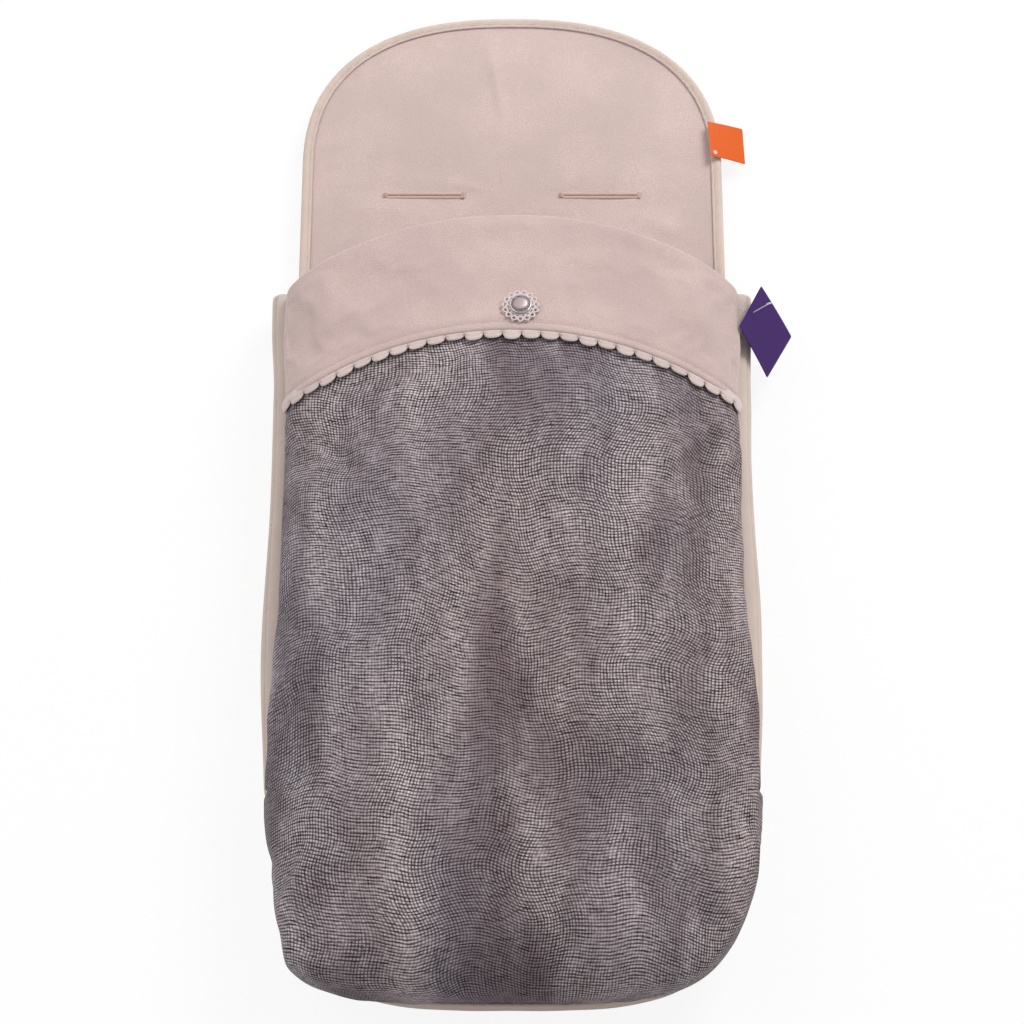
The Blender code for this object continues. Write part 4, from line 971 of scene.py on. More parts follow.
def panel_rings(outline, shares):
    """Rings of an outline drawn towards the spine, and their distances from the outline."""
    spine = np.stack([0 * outline[:, 0], np.clip(outline[:, 1], -SPINE_HALF, SPINE_HALF)], axis=-1)
    rings = outline + np.asarray(shares)[:, None, None] * (spine - outline)
    return rings, np.linalg.norm(rings - outline, axis=-1)


def merged(mesh, distance=0.00002):
    """The mesh with doubled points joined and its faces turned to point out."""
    shape = bmesh.new()
    shape.from_mesh(mesh)
    bmesh.ops.remove_doubles(shape, verts=shape.verts, dist=distance)
    bmesh.ops.dissolve_degenerate(shape, edges=shape.edges, dist=distance)
    bmesh.ops.recalc_face_normals(shape, faces=shape.faces)
    shape.to_mesh(mesh)
    shape.free()
    mesh.shade_smooth()
    return mesh


OUTLINE = back_outline()
RING_SHARES = np.array([
    0, 0.012, 0.03, 0.05, 0.075, 0.105, 0.14, 0.18, 0.23, 0.29,
    0.36, 0.44, 0.52, 0.60, 0.68, 0.76, 0.84, 0.92, 1.0,
])
print("outline of", len(OUTLINE), "points")

# %% [markdown]
# The strap slits are cut right through both layers with an exact Boolean, which leaves a clean
# edge, and a sewn border is set in each. On the real panel they lie nearly shut, so the cut is
# only a few millimetres wide. Dents along them make the velour dip to its seam.

# %% Back panel, top and underside
SLITS = [
    ("harness_slit_left", -HARNESS_X, HARNESS_Y, 0.064),
    ("harness_slit_right", HARNESS_X, HARNESS_Y, 0.064),
    ("crotch_slit", 0.0, CROTCH_Y, 0.042),
]
CUT_WIDTH = 0.0034
SLIT_DENT = 0.0012


def stadium(length, width, count=12):
    """A slot's outline: straight sides and round ends."""
    turn = np.linspace(-np.pi / 2, np.pi / 2, count)
    turn = np.concatenate([turn, turn + np.pi])
    shift = (length - width) / 2 * np.sign(np.cos(turn) + 1e-9 * (np.arange(2 * count) < count))
    return np.stack([shift + width / 2 * np.cos(turn), width / 2 * np.sin(turn)], axis=-1)


def cut_slits(mesh, finish, name):
    """The mesh cut through at the three slits."""
    body = put(name, mesh)
    mesh.materials.append(finish.material)
    cutters = []
    for slit, x, y, length in SLITS:
        rim = stadium(length + 0.002, CUT_WIDTH) + (x, y)
        cutter = put(slit, outward(tube(slit, np.stack([lifted(rim, -0.02), lifted(rim, 0.05)]))))
        cut = body.modifiers.new(slit, "BOOLEAN")
        cut.object = cutter
        cut.solver = "EXACT"
        cutters.append(cutter)
    result = as_mesh(body)
    for cutter in [*cutters, body]:
        bpy.data.objects.remove(cutter)
    return result


def slit_dent(x, y):
    """How far the velour dips towards the slits: a bell across each, faded past its ends."""
    total = np.zeros_like(x)
    for _, at_x, at_y, length in SLITS:
        beyond = np.clip(np.abs(x - at_x) - length / 2, 0, None)
        total += SLIT_DENT * np.exp(-(((y - at_y) / 0.007) ** 2) - (beyond / 0.004) ** 2)
    return total


VELOUR_FOLDS = [
    (-0.020, 0.436, -0.009, 0.350, 0.0045, 0.0016), (-0.012, 0.425, -0.004, 0.365, 0.0035, -0.0010),
    (0.108, 0.247, 0.168, 0.226, 0.0050, 0.0018), (0.100, 0.256, 0.160, 0.262, 0.0045, -0.0009),
    (-0.048, 0.274, -0.020, 0.300, 0.0040, 0.0012), (-0.150, 0.262, -0.110, 0.250, 0.0060, 0.0010),
    (0.020, 0.225, 0.090, 0.215, 0.0080, 0.0010), (-0.100, 0.235, -0.020, 0.222, 0.0070, 0.0009),
    (-0.165, 0.330, -0.150, 0.260, 0.0050, 0.0010), (0.160, 0.345, 0.150, 0.290, 0.0050, -0.0009),
]
rings, inset = panel_rings(OUTLINE, RING_SHARES)
crowned = eased(inset, RIM_FLAT, RIM_FLAT + CROWN_RUN) * BACK_CROWN
rx, ry = rings[..., 0], rings[..., 1]
soft = eased(inset, 0.008, 0.05)
height = RIM_TOP + crowned + soft * (1.8 * folds(rx, ry, VELOUR_FOLDS) + 0.0006 * ripple(rx, ry, 21, 0.07))
grid = lifted(rings, height)
cells = quads(ring_numbers(*grid.shape[:2])).tolist()
tops = grid.reshape(-1, 3)
held = 1 - eased(inset, 0.004, 0.03).ravel()
held = np.maximum(held, np.clip(slit_dent(tops[:, 0], tops[:, 1]) / SLIT_DENT * 1.2, 0, 1))
tops = bulged(tops, cells, held, pressure=3, growth=0.006, cap=0.0022)
tops[:, 2] -= slit_dent(tops[:, 0], tops[:, 1])
top = merged(mesh_from("back_velour", tops, cells))
holder = piece("back_velour_blank", top, VELOUR)
walled(holder, PLUSH_WALL)
blank = as_mesh(holder)
bpy.data.objects.remove(holder)
velour_top = piece("back_velour", cut_slits(blank, VELOUR, "velour_cut"), VELOUR, "back")
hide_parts("back_lining")
print("back velour top at", round(tops[:, 2].max() * 1000, 1), "mm")

# %% [markdown]
# The underside is the plain outer cloth, drawn tight round the wadding. One closed pad stands for
# the cloth and the wadding in it. Nobody sees it in the photograph, so it is kept plain: softly
# rounded at the rim and flat where it rests.

# %% Underside pad
PAD_TOP = RIM_TOP - PLUSH_WALL - 0.0002
normals = out_of(OUTLINE)
heights = np.array([0.0, 0.0004, 0.0016, 0.0034, 0.0075, 0.0115, 0.0138, PAD_TOP])
inward = np.array([0.0060, 0.0028, 0.0009, 0.0002, -0.0004, 0.0, 0.0006, 0.0016])
FOOT_PROUD = 0.0028
inward = inward[:, None] - FOOT_PROUD * eased(-OUTLINE[:, 1], 0.400, 0.440)[None]
rim = OUTLINE[None] - inward[..., None] * normals[None]
wave = 0.0004 * np.sin(np.arange(len(OUTLINE)) * 0.9) * bell(heights, 0.0075, 0.004)[:, None]
rim = rim + wave[..., None] * normals[None]
floor_rings, _ = panel_rings(OUTLINE, RING_SHARES[4::2])
under, roof = lifted(floor_rings[::-1], 0.0), lifted(floor_rings, PAD_TOP)
grid = np.concatenate([under, lifted(rim, heights[:, None]), roof])
pad = cut_slits(merged(sleeve("back_underside", grid)), CREAM, "pad_cut")
pad = piece("back_underside", pad, CREAM, "back")
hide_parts("back_shell", "back_wadding")
print("underside pad", len(pad.data.polygons), "faces")

# %% [markdown]
# Each slit has a buttonhole edge: dense stitches over a cord, a touch darker and pinker than the
# velour, with a bar of stitches at each end. A closed ring of small overlapping bulges, whose
# section goes down through the panel, gives the stitched look in real relief.

# %% Sewn slit borders
BORDER_TOP = 0.0226
STITCH_PITCH = 0.0011
BORDER_SECTION = np.array([
    (-0.0011, -0.0228), (-0.0011, -0.0040), (-0.0013, -0.0012), (-0.0010, -0.0002), (-0.0002, 0.0004),
    (0.0009, 0.0003), (0.0017, -0.0003), (0.0020, -0.0012), (0.0014, -0.0022), (0.0003, -0.0030),
    (-0.0002, -0.0060), (-0.0002, -0.0228),
])
TACK_LEFT, TACK_RIGHT = 0.0042, 0.0062


def slit_border(name, x, y, length):
    """A ring round a slit: its section is a bead on top and a thin wall down to the underside.
    A sine of four points a stitch makes the bead wider and higher at each stitch."""
    path = stadium(length + 0.0018, 0.0028, 60)
    run = run_along(path)
    steps = int(run[-1] / STITCH_PITCH * 4)
    path = at_run(np.linspace(0, run[-1] + 0.0001, steps, endpoint=False), run, path)
    stitch = np.sin(np.arange(steps) * math.pi / 2)
    off, up = BORDER_SECTION.T[..., None]
    ring = path[None] + (off * (1 + 0.16 * stitch))[..., None] * out_of(path)[None]
    z = np.maximum(BORDER_TOP + up + 0.0002 * stitch * (up > -0.002), 0.0003)
    grid = lifted(ring + (x, y), z)
    return merged(sleeve(name, np.concatenate([grid, grid[:1]])))


def bar_tack(x, y, width):
    """A bar of close stitches across the end of a slit, as one wavy closed strip."""
    v, u = np.meshgrid(np.linspace(-1, 1, 49), even_turn(12), indexing="ij")
    ribs = 1 + 0.25 * np.cos(v * 12 * np.pi)
    half = 0.0019 * np.sqrt(np.clip(1 - v**6, 0.02, 1))
    z = BORDER_TOP + 0.0004 + 0.0007 * ribs * np.sin(u)
    return merged(tube("bar_tack", np.stack([x + half * np.cos(u), y + v * width / 2, z], axis=-1)))


BUTTONHOLE = yarn("buttonhole_thread", (0.700, 0.505, 0.430), 0.0011)
for name, x, y, length in SLITS:
    border = slit_border(name + "_edge", x, y, length)
    border = piece(name + "_edge", border, BUTTONHOLE, "back")
    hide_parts(name + "_border")
    for hand, side, width in (("left", -1, TACK_LEFT), ("right", 1, TACK_RIGHT)):
        tack = bar_tack(x + side * (length / 2 + 0.0022), y, width)
        piece(f"{name}_tack_{hand}", tack, BUTTONHOLE, "back")
print("three sewn slits")

# %% [markdown]
# A binding closes the head end: a strip of cream cloth folded over the rim and topstitched. Its
# section is carried along the outline. A curve with a bevel profile would twist at the corners,
# so the rings are placed with the outline's own normals.

# %% Head binding
BINDING_START = MOUTH_Y + 0.0203
BINDING_TOP = 0.0199
straight = np.stack([np.full(22, BACK_HALF), np.linspace(BINDING_START, HEAD_Y, 23)[:-1]], axis=-1)
path = np.vstack([straight, head_arc(181), straight[::-1] * (-1, 1)])
step = np.gradient(path, axis=0)
out = unit(np.stack([step[:, 1], -step[:, 0]], axis=-1))
run = run_along(path)
BINDING_SECTION = np.array([
    (-0.0072, 0.0180), (-0.0073, 0.0190), (-0.0068, 0.0197), (-0.0056, 0.0199), (-0.0046, 0.0196),
    (-0.0034, 0.0202), (-0.0016, 0.0207), (0.0004, 0.0204), (0.0016, 0.0194), (0.0022, 0.0176),
    (0.0023, 0.0140), (0.0022, 0.0100), (0.0021, 0.0065), (0.0015, 0.0040), (0.0006, 0.0036),
    (0.0002, 0.0060), (0.0002, 0.0176), (-0.0020, 0.0180),
])
pucker = 0.00022 * np.sin(run / 0.0041 * 2 * np.pi + 2 * np.sin(run * 60))
aside, level = BINDING_SECTION.T
rise = level + pucker[:, None] * (level > 0.0185)  # only the top puckers
grid = lifted(path[:, None] + aside[:, None] * out[:, None], rise)
mesh = outward(tube("head_binding_cloth", grid))
binding = piece("head_binding_cloth", mesh, BINDING, "back")
rounded(binding)
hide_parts("head_binding")
print("binding", round(run[-1], 3), "m long")

# %% [markdown]
# Stitches are hundreds of alike little things, so each is one closed capsule of a few dozen
# faces, and all those of a seam share a mesh. Given a path, its normals and a pitch, whole arrays
# place them in one sum.


# %% Rows of stitches
def stitches(name, path, up, pitch, length, radius, sink=0.0):
    """Capsules along a path: points p + t*u + r*(cos a * s + sin a * n) for every stitch at once."""
    path, up = np.asarray(path, float), unit(np.asarray(up, float))
    run = run_along(path)
    middles = np.arange(pitch / 2, run[-1], pitch)
    centre = at_run(middles, run, path)
    along = unit(at_run(middles + 0.0003, run, path) - at_run(middles - 0.0003, run, path))
    normal = unit(at_run(middles, run, up))
    side = unit(np.cross(along, normal))
    places = np.array([-0.5, -0.42, -0.15, 0.15, 0.42, 0.5]) * length
    girth = np.array([0.25, 0.8, 1.0, 1.0, 0.8, 0.25]) * radius
    arch = -np.array([1.0, 0.55, 0.0, 0.0, 0.55, 1.0]) * radius
    turn = np.arange(6) * np.pi / 3
    grid = (
        centre[:, None, None] + places[None, :, None, None] * along[:, None, None]
        + (girth[:, None] * np.cos(turn))[None, ..., None] * side[:, None, None]
        + (girth[:, None] * np.sin(turn) + arch[:, None] - sink)[None, ..., None] * normal[:, None, None]
    )
    count, ends = len(centre), np.arange(6)
    cells = copied(quads(ring_numbers(6, 6)), 36, count)
    cells += copied([ends[::-1]], 36, count) + copied([ends + 30], 36, count)
    print(name, count, "stitches")
    return outward(mesh_from(name, grid.reshape(-1, 3), cells))


line = lifted(path - 0.0046 * out, BINDING_TOP)
up = np.broadcast_to([0, 0, 1.0], line.shape)
sewn = stitches("binding_stitches", line, up, pitch=0.0028, length=0.0021, radius=0.00028)
piece("binding_stitches", sewn, THREAD, "back")

# %% [markdown]
# A padded band on each side carries the zip and fills the space between back and cover. It is a
# folded strip that bulges outwards, with a crease where the fold is topstitched and a rounded end
# beside the mouth. It is one closed section carried along Y, fuller at the mouth than at the fold.

# %% Side bands
BAND_TOP = 0.058
BAND_FOOT_X = BACK_HALF - 0.001
BAND_POWER = 2.6
BAND_WALL = 0.0042
BAND_LIP = 0.3  # how far the lip over the zip stands out from the panel, as a share of the bulge
BULGE_FOLD, BULGE_MOUTH = 0.0125, 0.0205
TOP_CREASE, LOW_CREASE = 0.62, 0.25  # angles round the section


def side_band(side):
    """The band's closed section, a superellipse outside and a drawn-in copy inside, along Y."""
    half = (BAND_TOP - SEAT) / 2
    last = math.acos(BAND_LIP ** (BAND_POWER / 2))
    angle = np.linspace(-np.pi / 2, last, 34)
    bulge = np.cos(angle) ** (2 / BAND_POWER)
    rise = half * np.sign(np.sin(angle)) * np.abs(np.sin(angle)) ** (2 / BAND_POWER)
    share = np.linspace(0, 1, 75)
    ends = np.array([0.0, 0.0012, 0.0035])
    share = np.unique(np.concatenate([share, ends, 1 - ends]))
    height = (rise + half) / (2 * half)
    reach = BULGE_FOLD + (BULGE_MOUTH - BULGE_FOLD) * share + 0.0028 * eased(share, 0.80, 0.93)
    reach = (reach + 0.0065 * bell(share, 0.25, 0.28))[:, None]
    end_y = MOUTH_Y + 0.020 * (1 - height)[None] - 0.0035 * (bulge**8)[None]
    y = FOLD_Y + 0.0006 + share[:, None] * (end_y - FOLD_Y - 0.0006)
    crease = 0.0021 * bell(angle, TOP_CREASE, 0.085) * eased(share, 0.0, 0.06)[:, None]
    second = 0.0009 * bell(angle, LOW_CREASE, 0.10)
    slack = 0.0007 * ripple(y, rise[None] * 3 + y * 0, 31 + side, 0.10) * np.sin(np.pi * height)[None]
    pucker = 0.00045 * np.sin(y / 0.0105 * 2 * np.pi) * bell(angle, TOP_CREASE + 0.1, 0.2)
    out = bulge * reach - (crease + second) + slack + pucker
    tip = np.minimum(share, 1 - share)[:, None]
    rounding = 1 - np.clip(1 - tip / 0.012, 0, 1) ** 2.2 * 0.55
    wall = BAND_WALL * rounding * (0.55 + 0.45 * np.sin(np.pi * np.clip(height, 0, 1)) ** 0.5)[None]
    middle = np.stack([BAND_FOOT_X + out, y, SEAT + half + rise[None] + 0 * y], axis=-1)
    normal = unit(np.cross(np.gradient(middle, axis=0), np.gradient(middle, axis=1)))
    normal *= np.sign((normal * [1.0, 0, 0.35]).sum(-1))[..., None]
    inner = middle - wall[..., None] * normal
    outer = middle - (BAND_WALL * (1 - rounding) * 0.5)[..., None] * normal
    grid = np.concatenate([outer, inner[:, ::-1]], axis=1)
    grid[..., 2] = np.maximum(grid[..., 2], SEAT - 0.0001)
    grid[..., 0] *= side
    return outward(tube("side_band", grid)), middle * (side, 1, 1)


for side, hand in ((-1, "left"), (1, "right")):
    mesh, middle = side_band(side)
    band = piece(f"side_band_{hand}_cloth", mesh, CREAM, "back")
    rounded(band)
    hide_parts(f"side_band_{hand}")
    row = middle[2:-2, 24]  # beside the upper crease
    away = np.broadcast_to([0.75 * side, 0, 0.65], row.shape)
    name = f"side_band_{hand}_stitches"
    sewn = stitches(name, row, away, pitch=0.0034, length=0.0024, radius=0.0003, sink=-0.0001)
    piece(name, sewn, THREAD, "back")
print("side bands reach", round(float(np.abs(middle[..., 0]).max()) * 1000, 1), "mm out")

# %% [markdown]
# The mouth of the cover ends in a velour roll, and the same velour turns down over the cover as
# a deep cuff. The section is one closed loop: down the cuff's outer face, round its lower edge,
# back up under it, over the cover's end and a little way inside. It could be two pieces, but then
# a gap would open at the roll when the cuff turns up.

# %% The cuff's section
CUFF_LIFT = 0.0006
CUFF_WALL = 0.006
SEAM_BACK = 0.1142  # where the seam above the trim lies, from the mouth back
EDGE_NEARER, EDGE_LOWER = 0.0058, 0.0049  # at the sides the lower edge comes up and lies closer


def face_normal(across, y):
    """Unit normal of the cover's face: the cross product of small steps along it both ways."""
    step = 0.002
    over = dome(across + step, y) - dome(across - step, y)
    along = dome(across, y + step) - dome(across, y - step)
    return unit(np.cross(over, along))


def on_face(across, back_from_mouth, off):
    """Points at a distance back from the mouth and a distance off the cover's face."""
    y = mouth_line(across) - back_from_mouth
    return dome(across, y) + off[..., None] * face_normal(across, y)


def cuff_section():
    """Distances back from the mouth and off the face, round the loop from inside the roll."""
    turn = np.linspace(-0.5, 0.5, 13) * np.pi
    low = [0.1085, 0.1112, 0.1130, SEAM_BACK, 0.1152, 0.1166, 0.1182, 0.1200]
    outer = np.concatenate([np.linspace(0.006, 0.105, 30), low])
    parts = [
        np.array([(0.0220, -0.0112), (0.0160, -0.0116), (0.0100, -0.0116)]),
        np.stack([0.0058 - 0.0060 * np.cos(turn), -0.0025 + 0.0091 * np.sin(turn)], axis=-1),
        np.stack([outer, np.full(len(outer), CUFF_LIFT + CUFF_WALL)], axis=-1),
        np.array([(0.1213, 0.0060), (0.1220, 0.0048), (0.1222, 0.0034), (0.1218, 0.0020), (0.1208, 0.0010)]),
        np.stack([np.linspace(0.118, 0.004, 24), np.full(24, CUFF_LIFT)], axis=-1),
        np.array([(0.0018, 0.0002), (0.0008, -0.0020), (0.0012, -0.0060), (0.0030, -0.0092)]),
        np.array([(0.0080, -0.0102), (0.0140, -0.0102), (0.0200, -0.0104)]),
    ]
    return np.vstack(parts)


section = cuff_section()
TOP_FACE = section[:, 1] > 0.0062
dome_half = np.sin(np.linspace(0, 1, 70) * np.pi / 2)
half = np.concatenate([dome_half * 0.985, [0.995, 1.01, 1.035, 1.06, 1.075]])
columns = np.concatenate([-half[:0:-1], half])
across, back_by = np.meshgrid(columns, section[:, 0], indexing="ij")
outside = np.abs(columns)[:, None]
edge_way = eased(outside, 0.60, 0.96) * eased(back_by, 0.045, 0.118)
end_in = eased(outside, 0.985, 1.075)
off = section[:, 1] - EDGE_LOWER * edge_way * (section[:, 1] > 0.0035)
off = off + end_in**2 * 0.75 * (0.0022 - off) * (section[:, 1] > -0.001)
grid = on_face(across, back_by - EDGE_NEARER * edge_way, off)
spill = 0.0012 * eased(outside, 0.80, 1.01) * (1 - eased(back_by, 0.004, 0.080))
grid[..., 0] += np.sign(columns)[:, None] * spill
print("cuff grid", grid.shape)

# %% [markdown]
# The cuff is stuffed lightly. Its outer face is let out by the cloth solver, and the seam above
# the trim is pulled in by its stitches, with small puckers. Broad waves and a few slanting folds
# follow the photograph, where the cuff is slack at both corners.

# %% Velour cuff
CUFF_FOLDS = [
    (-0.165, 0.080, -0.115, 0.135, 0.0100, 0.0016), (0.120, 0.140, 0.170, 0.090, 0.0110, 0.0015),
    (-0.060, 0.185, 0.030, 0.196, 0.0090, 0.0012), (-0.150, 0.130, -0.090, 0.160, 0.0070, -0.0012),
    (0.060, 0.110, 0.125, 0.085, 0.0080, 0.0010), (-0.080, 0.090, -0.020, 0.102, 0.0060, -0.0009),
    (0.085, 0.175, 0.150, 0.150, 0.0090, -0.0012),
]
numbers = ring_numbers(*grid.shape[:2])
cells = quads(numbers)[:, ::-1].tolist()
cells += [numbers[0, :-1].tolist(), numbers[-1, :-1][::-1].tolist()]
back_off = section[:, 0]
free = TOP_FACE * (1 - eased(outside, 0.86, 0.985))
free = free * (1 - eased(back_off, 0.100, 0.1125)) * eased(back_off, 0.004, 0.02)
held = 1 - free.ravel()
cuff_points = bulged(grid.reshape(-1, 3), cells, held, pressure=3, growth=0.008, cap=0.0022)
cuff_points = cuff_points.reshape(grid.shape)
x, y = cuff_points[..., 0], cuff_points[..., 1]
seam = bell(back_off, SEAM_BACK, 0.0016) * TOP_FACE
run = run_along(grid[:, 30])[:, None]
pucker = np.sin(run / 0.0062 * 2 * np.pi + 1.5 * np.sin(run * 90)) * bell(back_off, 0.1125, 0.006)
waves = free * (folds(x, y, CUFF_FOLDS) + 0.0007 * ripple(x, y, 44, 0.085))
roll = bell(back_off, 0.003, 0.01) * (section[:, 1] > 0)
shift = waves - 0.0008 * seam + 0.00030 * pucker * TOP_FACE + 0.0007 * roll * ripple(x, y, 12, 0.05)
shift = shift * (1 - end_in)
outwards = face_normal(across, mouth_line(across) - back_by)
cuff_points = cuff_points + shift[..., None] * outwards
cuff_mesh = outward(mesh_from("cuff_velour", cuff_points.reshape(-1, 3), cells))
cuff = piece("cuff_velour", cuff_mesh, CUFF_VELOUR)
rounded(cuff)
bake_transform(cuff)
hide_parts("cuff", "mouth_hem")
at = int(np.argmin(np.abs(back_off - SEAM_BACK) + (~TOP_FACE)))
row, up = cuff_points[6:-6, at], outwards[6:-6, at]
sewn = stitches("cuff_stitches", row, up, pitch=0.0031, length=0.0023, radius=0.0003, sink=-0.0002)
piece("cuff_stitches", sewn, THREAD, "cuff")
print("cuff top", round(float(cuff_points[..., 2].max()) * 1000, 1), "mm")

# %% [markdown]
# Along the cuff's lower edge hangs a scalloped trim: a bought ribbon whose lobes lean a little to
# one side, with a rolled edge. Each lobe is a shallow arc, and a narrow round notch parts it
# from the next, where the dark cloth below shows. The height of the face follows the lobe, so
# that every one is cupped and throws its own shade.

# %% Scalloped trim
LOBE_PITCH = 0.0156
LOBE_DROP = 0.0050
TRIM_BAND = 0.0005
TRIM_WALL = 0.0011


def lobes(share):
    """How far the trim hangs at a share of one lobe: a shallow arc, cut by a narrow round notch."""
    arc = 0.62 + 0.38 * np.sin(np.pi * share**0.9)
    return arc * (1 - bell(np.minimum(share, 1 - share), 0, 0.115))


fine = np.linspace(-0.968, 0.968, 1601)
edge = on_face(fine, np.full(fine.shape, CUFF_DEPTH), np.zeros(fine.shape))
run = run_along(edge)
count = round(run[-1] / LOBE_PITCH)
places = np.linspace(0, run[-1], count * 18 + 1)
fine_across = np.interp(places, run, fine)
lobe = places / run[-1] * count
lobe_number = np.minimum(lobe.astype(int), count - 1)
size = 1 + 0.14 * np.random.default_rng(9).standard_normal(count)[lobe_number]
reach = lobes(lobe % 1.0)
TRIM_ROWS = np.array([-0.0055, -0.0035, -0.0015, 0.0, 0.2, 0.42, 0.62, 0.78, 0.90, 0.97, 1.0])
at_side = eased(np.abs(fine_across), 0.60, 0.96)
rows = []
for row in TRIM_ROWS:
    fall = np.where(row < 0, row, row * (TRIM_BAND + LOBE_DROP * reach * size)) - EDGE_NEARER * at_side
    cup = 0.0036 - 0.0014 * at_side - 0.0020 * min(2 * max(row, 0), 1) + 0.0004 * max(row, 0)
    cup = cup + 0.0013 * reach * np.sin(np.pi * np.clip(row, 0, 1)) ** 0.8
    rolled = 0.0005 * bell(row, 0.9, 0.12) * reach
    rows.append(on_face(fine_across, CUFF_DEPTH + fall, CUFF_LIFT + cup + rolled))
trim = piece("scallop_ribbon", sheet("scallop_ribbon", np.array(rows)), TRIM, "cuff")
walled(trim, TRIM_WALL)
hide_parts("scallop_trim")
print(count, "lobes along", round(run[-1], 3), "m")

# %% [markdown]
# The cuff is held by a press stud under a jewelled cap. The cap is a satin dome in a plated rim
# with three rings of tiny smoky stones, set on a crocheted rosette whose edge is a ring of little
# picot loops. Each loop is a torus, and the stones are faceted cones, all placed in one frame on
# the cuff.

# %% Jewelled cap and crocheted rosette
BUTTON_X, BUTTON_UP = 0.007, 0.0215
CAP_WIDTH, CAP_HEIGHT = 0.018, 0.0042
CAP_RIM = CAP_WIDTH / 2
LACE_UP = CUFF_LIFT + CUFF_WALL + 0.0012
CAP_UP = CUFF_LIFT + CUFF_WALL + 0.0009 + 0.0015 + 0.0003  # the rosette lies under the cap
LOOPS = 15


def crest_point(y):
    """The point of the cover's face on its middle line."""
    return dome(np.array([0.0]), np.array([y]))[0]


button_y = MOUTH_Y + MOUTH_ARC - (CUFF_DEPTH - BUTTON_UP)
ahead = crest_point(button_y + 0.01) - crest_point(button_y - 0.01)
BUTTON_ALONG = ahead / np.linalg.norm(ahead)
BUTTON_ALONG[0] = 0
BUTTON_UPWARD = np.cross([1.0, 0, 0], BUTTON_ALONG)
BUTTON_MIDDLE = np.array([BUTTON_X, button_y, crest_point(button_y)[2]])


def on_button(points):
    """Points of the button's own frame (across, along, up) in the model's frame."""
    across, along, up = np.moveaxis(np.asarray(points, float), -1, 0)[..., None]
    return BUTTON_MIDDLE + across * [1.0, 0, 0] + along * BUTTON_ALONG + up * BUTTON_UPWARD


def rings_of(count, middle_radius, ring_radius, wire, height, start=0.0, squeeze=1.0, tilt=0.0):
    """Small tori in a circle: c + (R + r cos b)(cos a, sin a) in the plane, r sin b up."""
    a, b = np.meshgrid(even_turn(14), even_turn(7), indexing="ij")
    radial = (ring_radius + wire * np.cos(b)) * np.cos(a)
    around = (ring_radius * squeeze + wire * np.cos(b)) * np.sin(a)
    up = wire * np.sin(b) + tilt * radial
    turn = start + np.arange(count) * 2 * np.pi / count
    cosine, sine = np.cos(turn)[:, None, None], np.sin(turn)[:, None, None]
    x = (middle_radius + radial) * cosine - around * sine
    y = (middle_radius + radial) * sine + around * cosine
    grid = np.stack([x, y, height + up + 0 * x], axis=-1)
    return grid.reshape(-1, 3), copied(torus_faces(*a.shape), a.size, count)


def joined_mesh(name, parts):
    """One mesh of several sets of points and faces on the button."""
    points, cells, start = [], [], 0
    for some, faces in parts:
        points.append(on_button(some))
        cells += [[corner + start for corner in face] for face in faces]
        start += len(some)
    return outward(mesh_from(name, np.vstack(points), cells))


crochet = [
    rings_of(LOOPS, 0.0131, 0.00185, 0.00075, LACE_UP + 0.0004, 0.1, 1.15, 0.10),
    rings_of(LOOPS, 0.0103, 0.00145, 0.00070, LACE_UP + 0.0007, 0.1 + math.pi / LOOPS, 1.25),
    rings_of(22, 0.0085, 0.00100, 0.00060, LACE_UP + 0.0009, 0.0, 1.1),
    rings_of(LOOPS, 0.0151, 0.00070, 0.00050, LACE_UP + 0.0002, 0.1, 1.0),
]
turn, bend = np.meshgrid(even_turn(96), even_turn(8), indexing="ij")
cord = 0.0007 * (1 + 0.25 * np.sin(turn * 44 + bend))
for radius in (0.0070, 0.0113):
    wide = radius + cord * np.cos(bend)
    up = LACE_UP + 0.0006 + cord * np.sin(bend)
    grid = np.stack([wide * np.cos(turn), wide * np.sin(turn), up], axis=-1)
    crochet.append((grid.reshape(-1, 3), torus_faces(*turn.shape)))
rosette = piece("crochet_rosette", joined_mesh("crochet_rosette", crochet), LACE, "cuff")
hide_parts("lace_rosette")

CAP_PROFILE = np.array([
    (0.0, 1.0), (0.18, 0.995), (0.36, 0.97), (0.50, 0.93), (0.60, 0.87),
    (0.68, 0.79), (0.74, 0.72), (0.79, 0.66), (0.84, 0.61), (0.88, 0.60),
    (0.92, 0.63), (0.955, 0.63), (0.985, 0.56), (1.0, 0.44), (1.0, 0.30),
    (0.985, 0.14), (0.96, 0.02), (0.90, 0.0), (0.40, 0.0), (0.0, 0.0),
])
turns = even_turn(64)
share, level = CAP_PROFILE.T[..., None]
flutes = 0.012 * np.cos(32 * turns) * ((share > 0.93) & (level > 0.1))
fluted = share * CAP_RIM * (1 + flutes)
level = np.broadcast_to(CAP_UP + level * CAP_HEIGHT, fluted.shape)
grid = on_button(np.stack([fluted * np.cos(turns), fluted * np.sin(turns), level], axis=-1))
cap_mesh = merged(sleeve("jewelled_cap", grid), 0.00001)
cap = piece("jewelled_cap", cap_mesh, SATIN, "cuff")
cap_mesh.materials.append(METAL.material)
middles = np.empty(len(cap_mesh.polygons) * 3)
cap_mesh.polygons.foreach_get("center", middles)
off_middle = np.linalg.norm(np.cross(middles.reshape(-1, 3) - BUTTON_MIDDLE, BUTTON_UPWARD), axis=1)
cap_mesh.polygons.foreach_set("material_index", (off_middle > 0.90 * CAP_RIM).astype(np.int32))
rounded(cap)
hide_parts("button_cap")


STONE_PROFILE = np.array([(0.30, 0.52), (0.62, 0.42), (1.0, 0.0), (0.75, -0.45), (0.2, -0.75)])


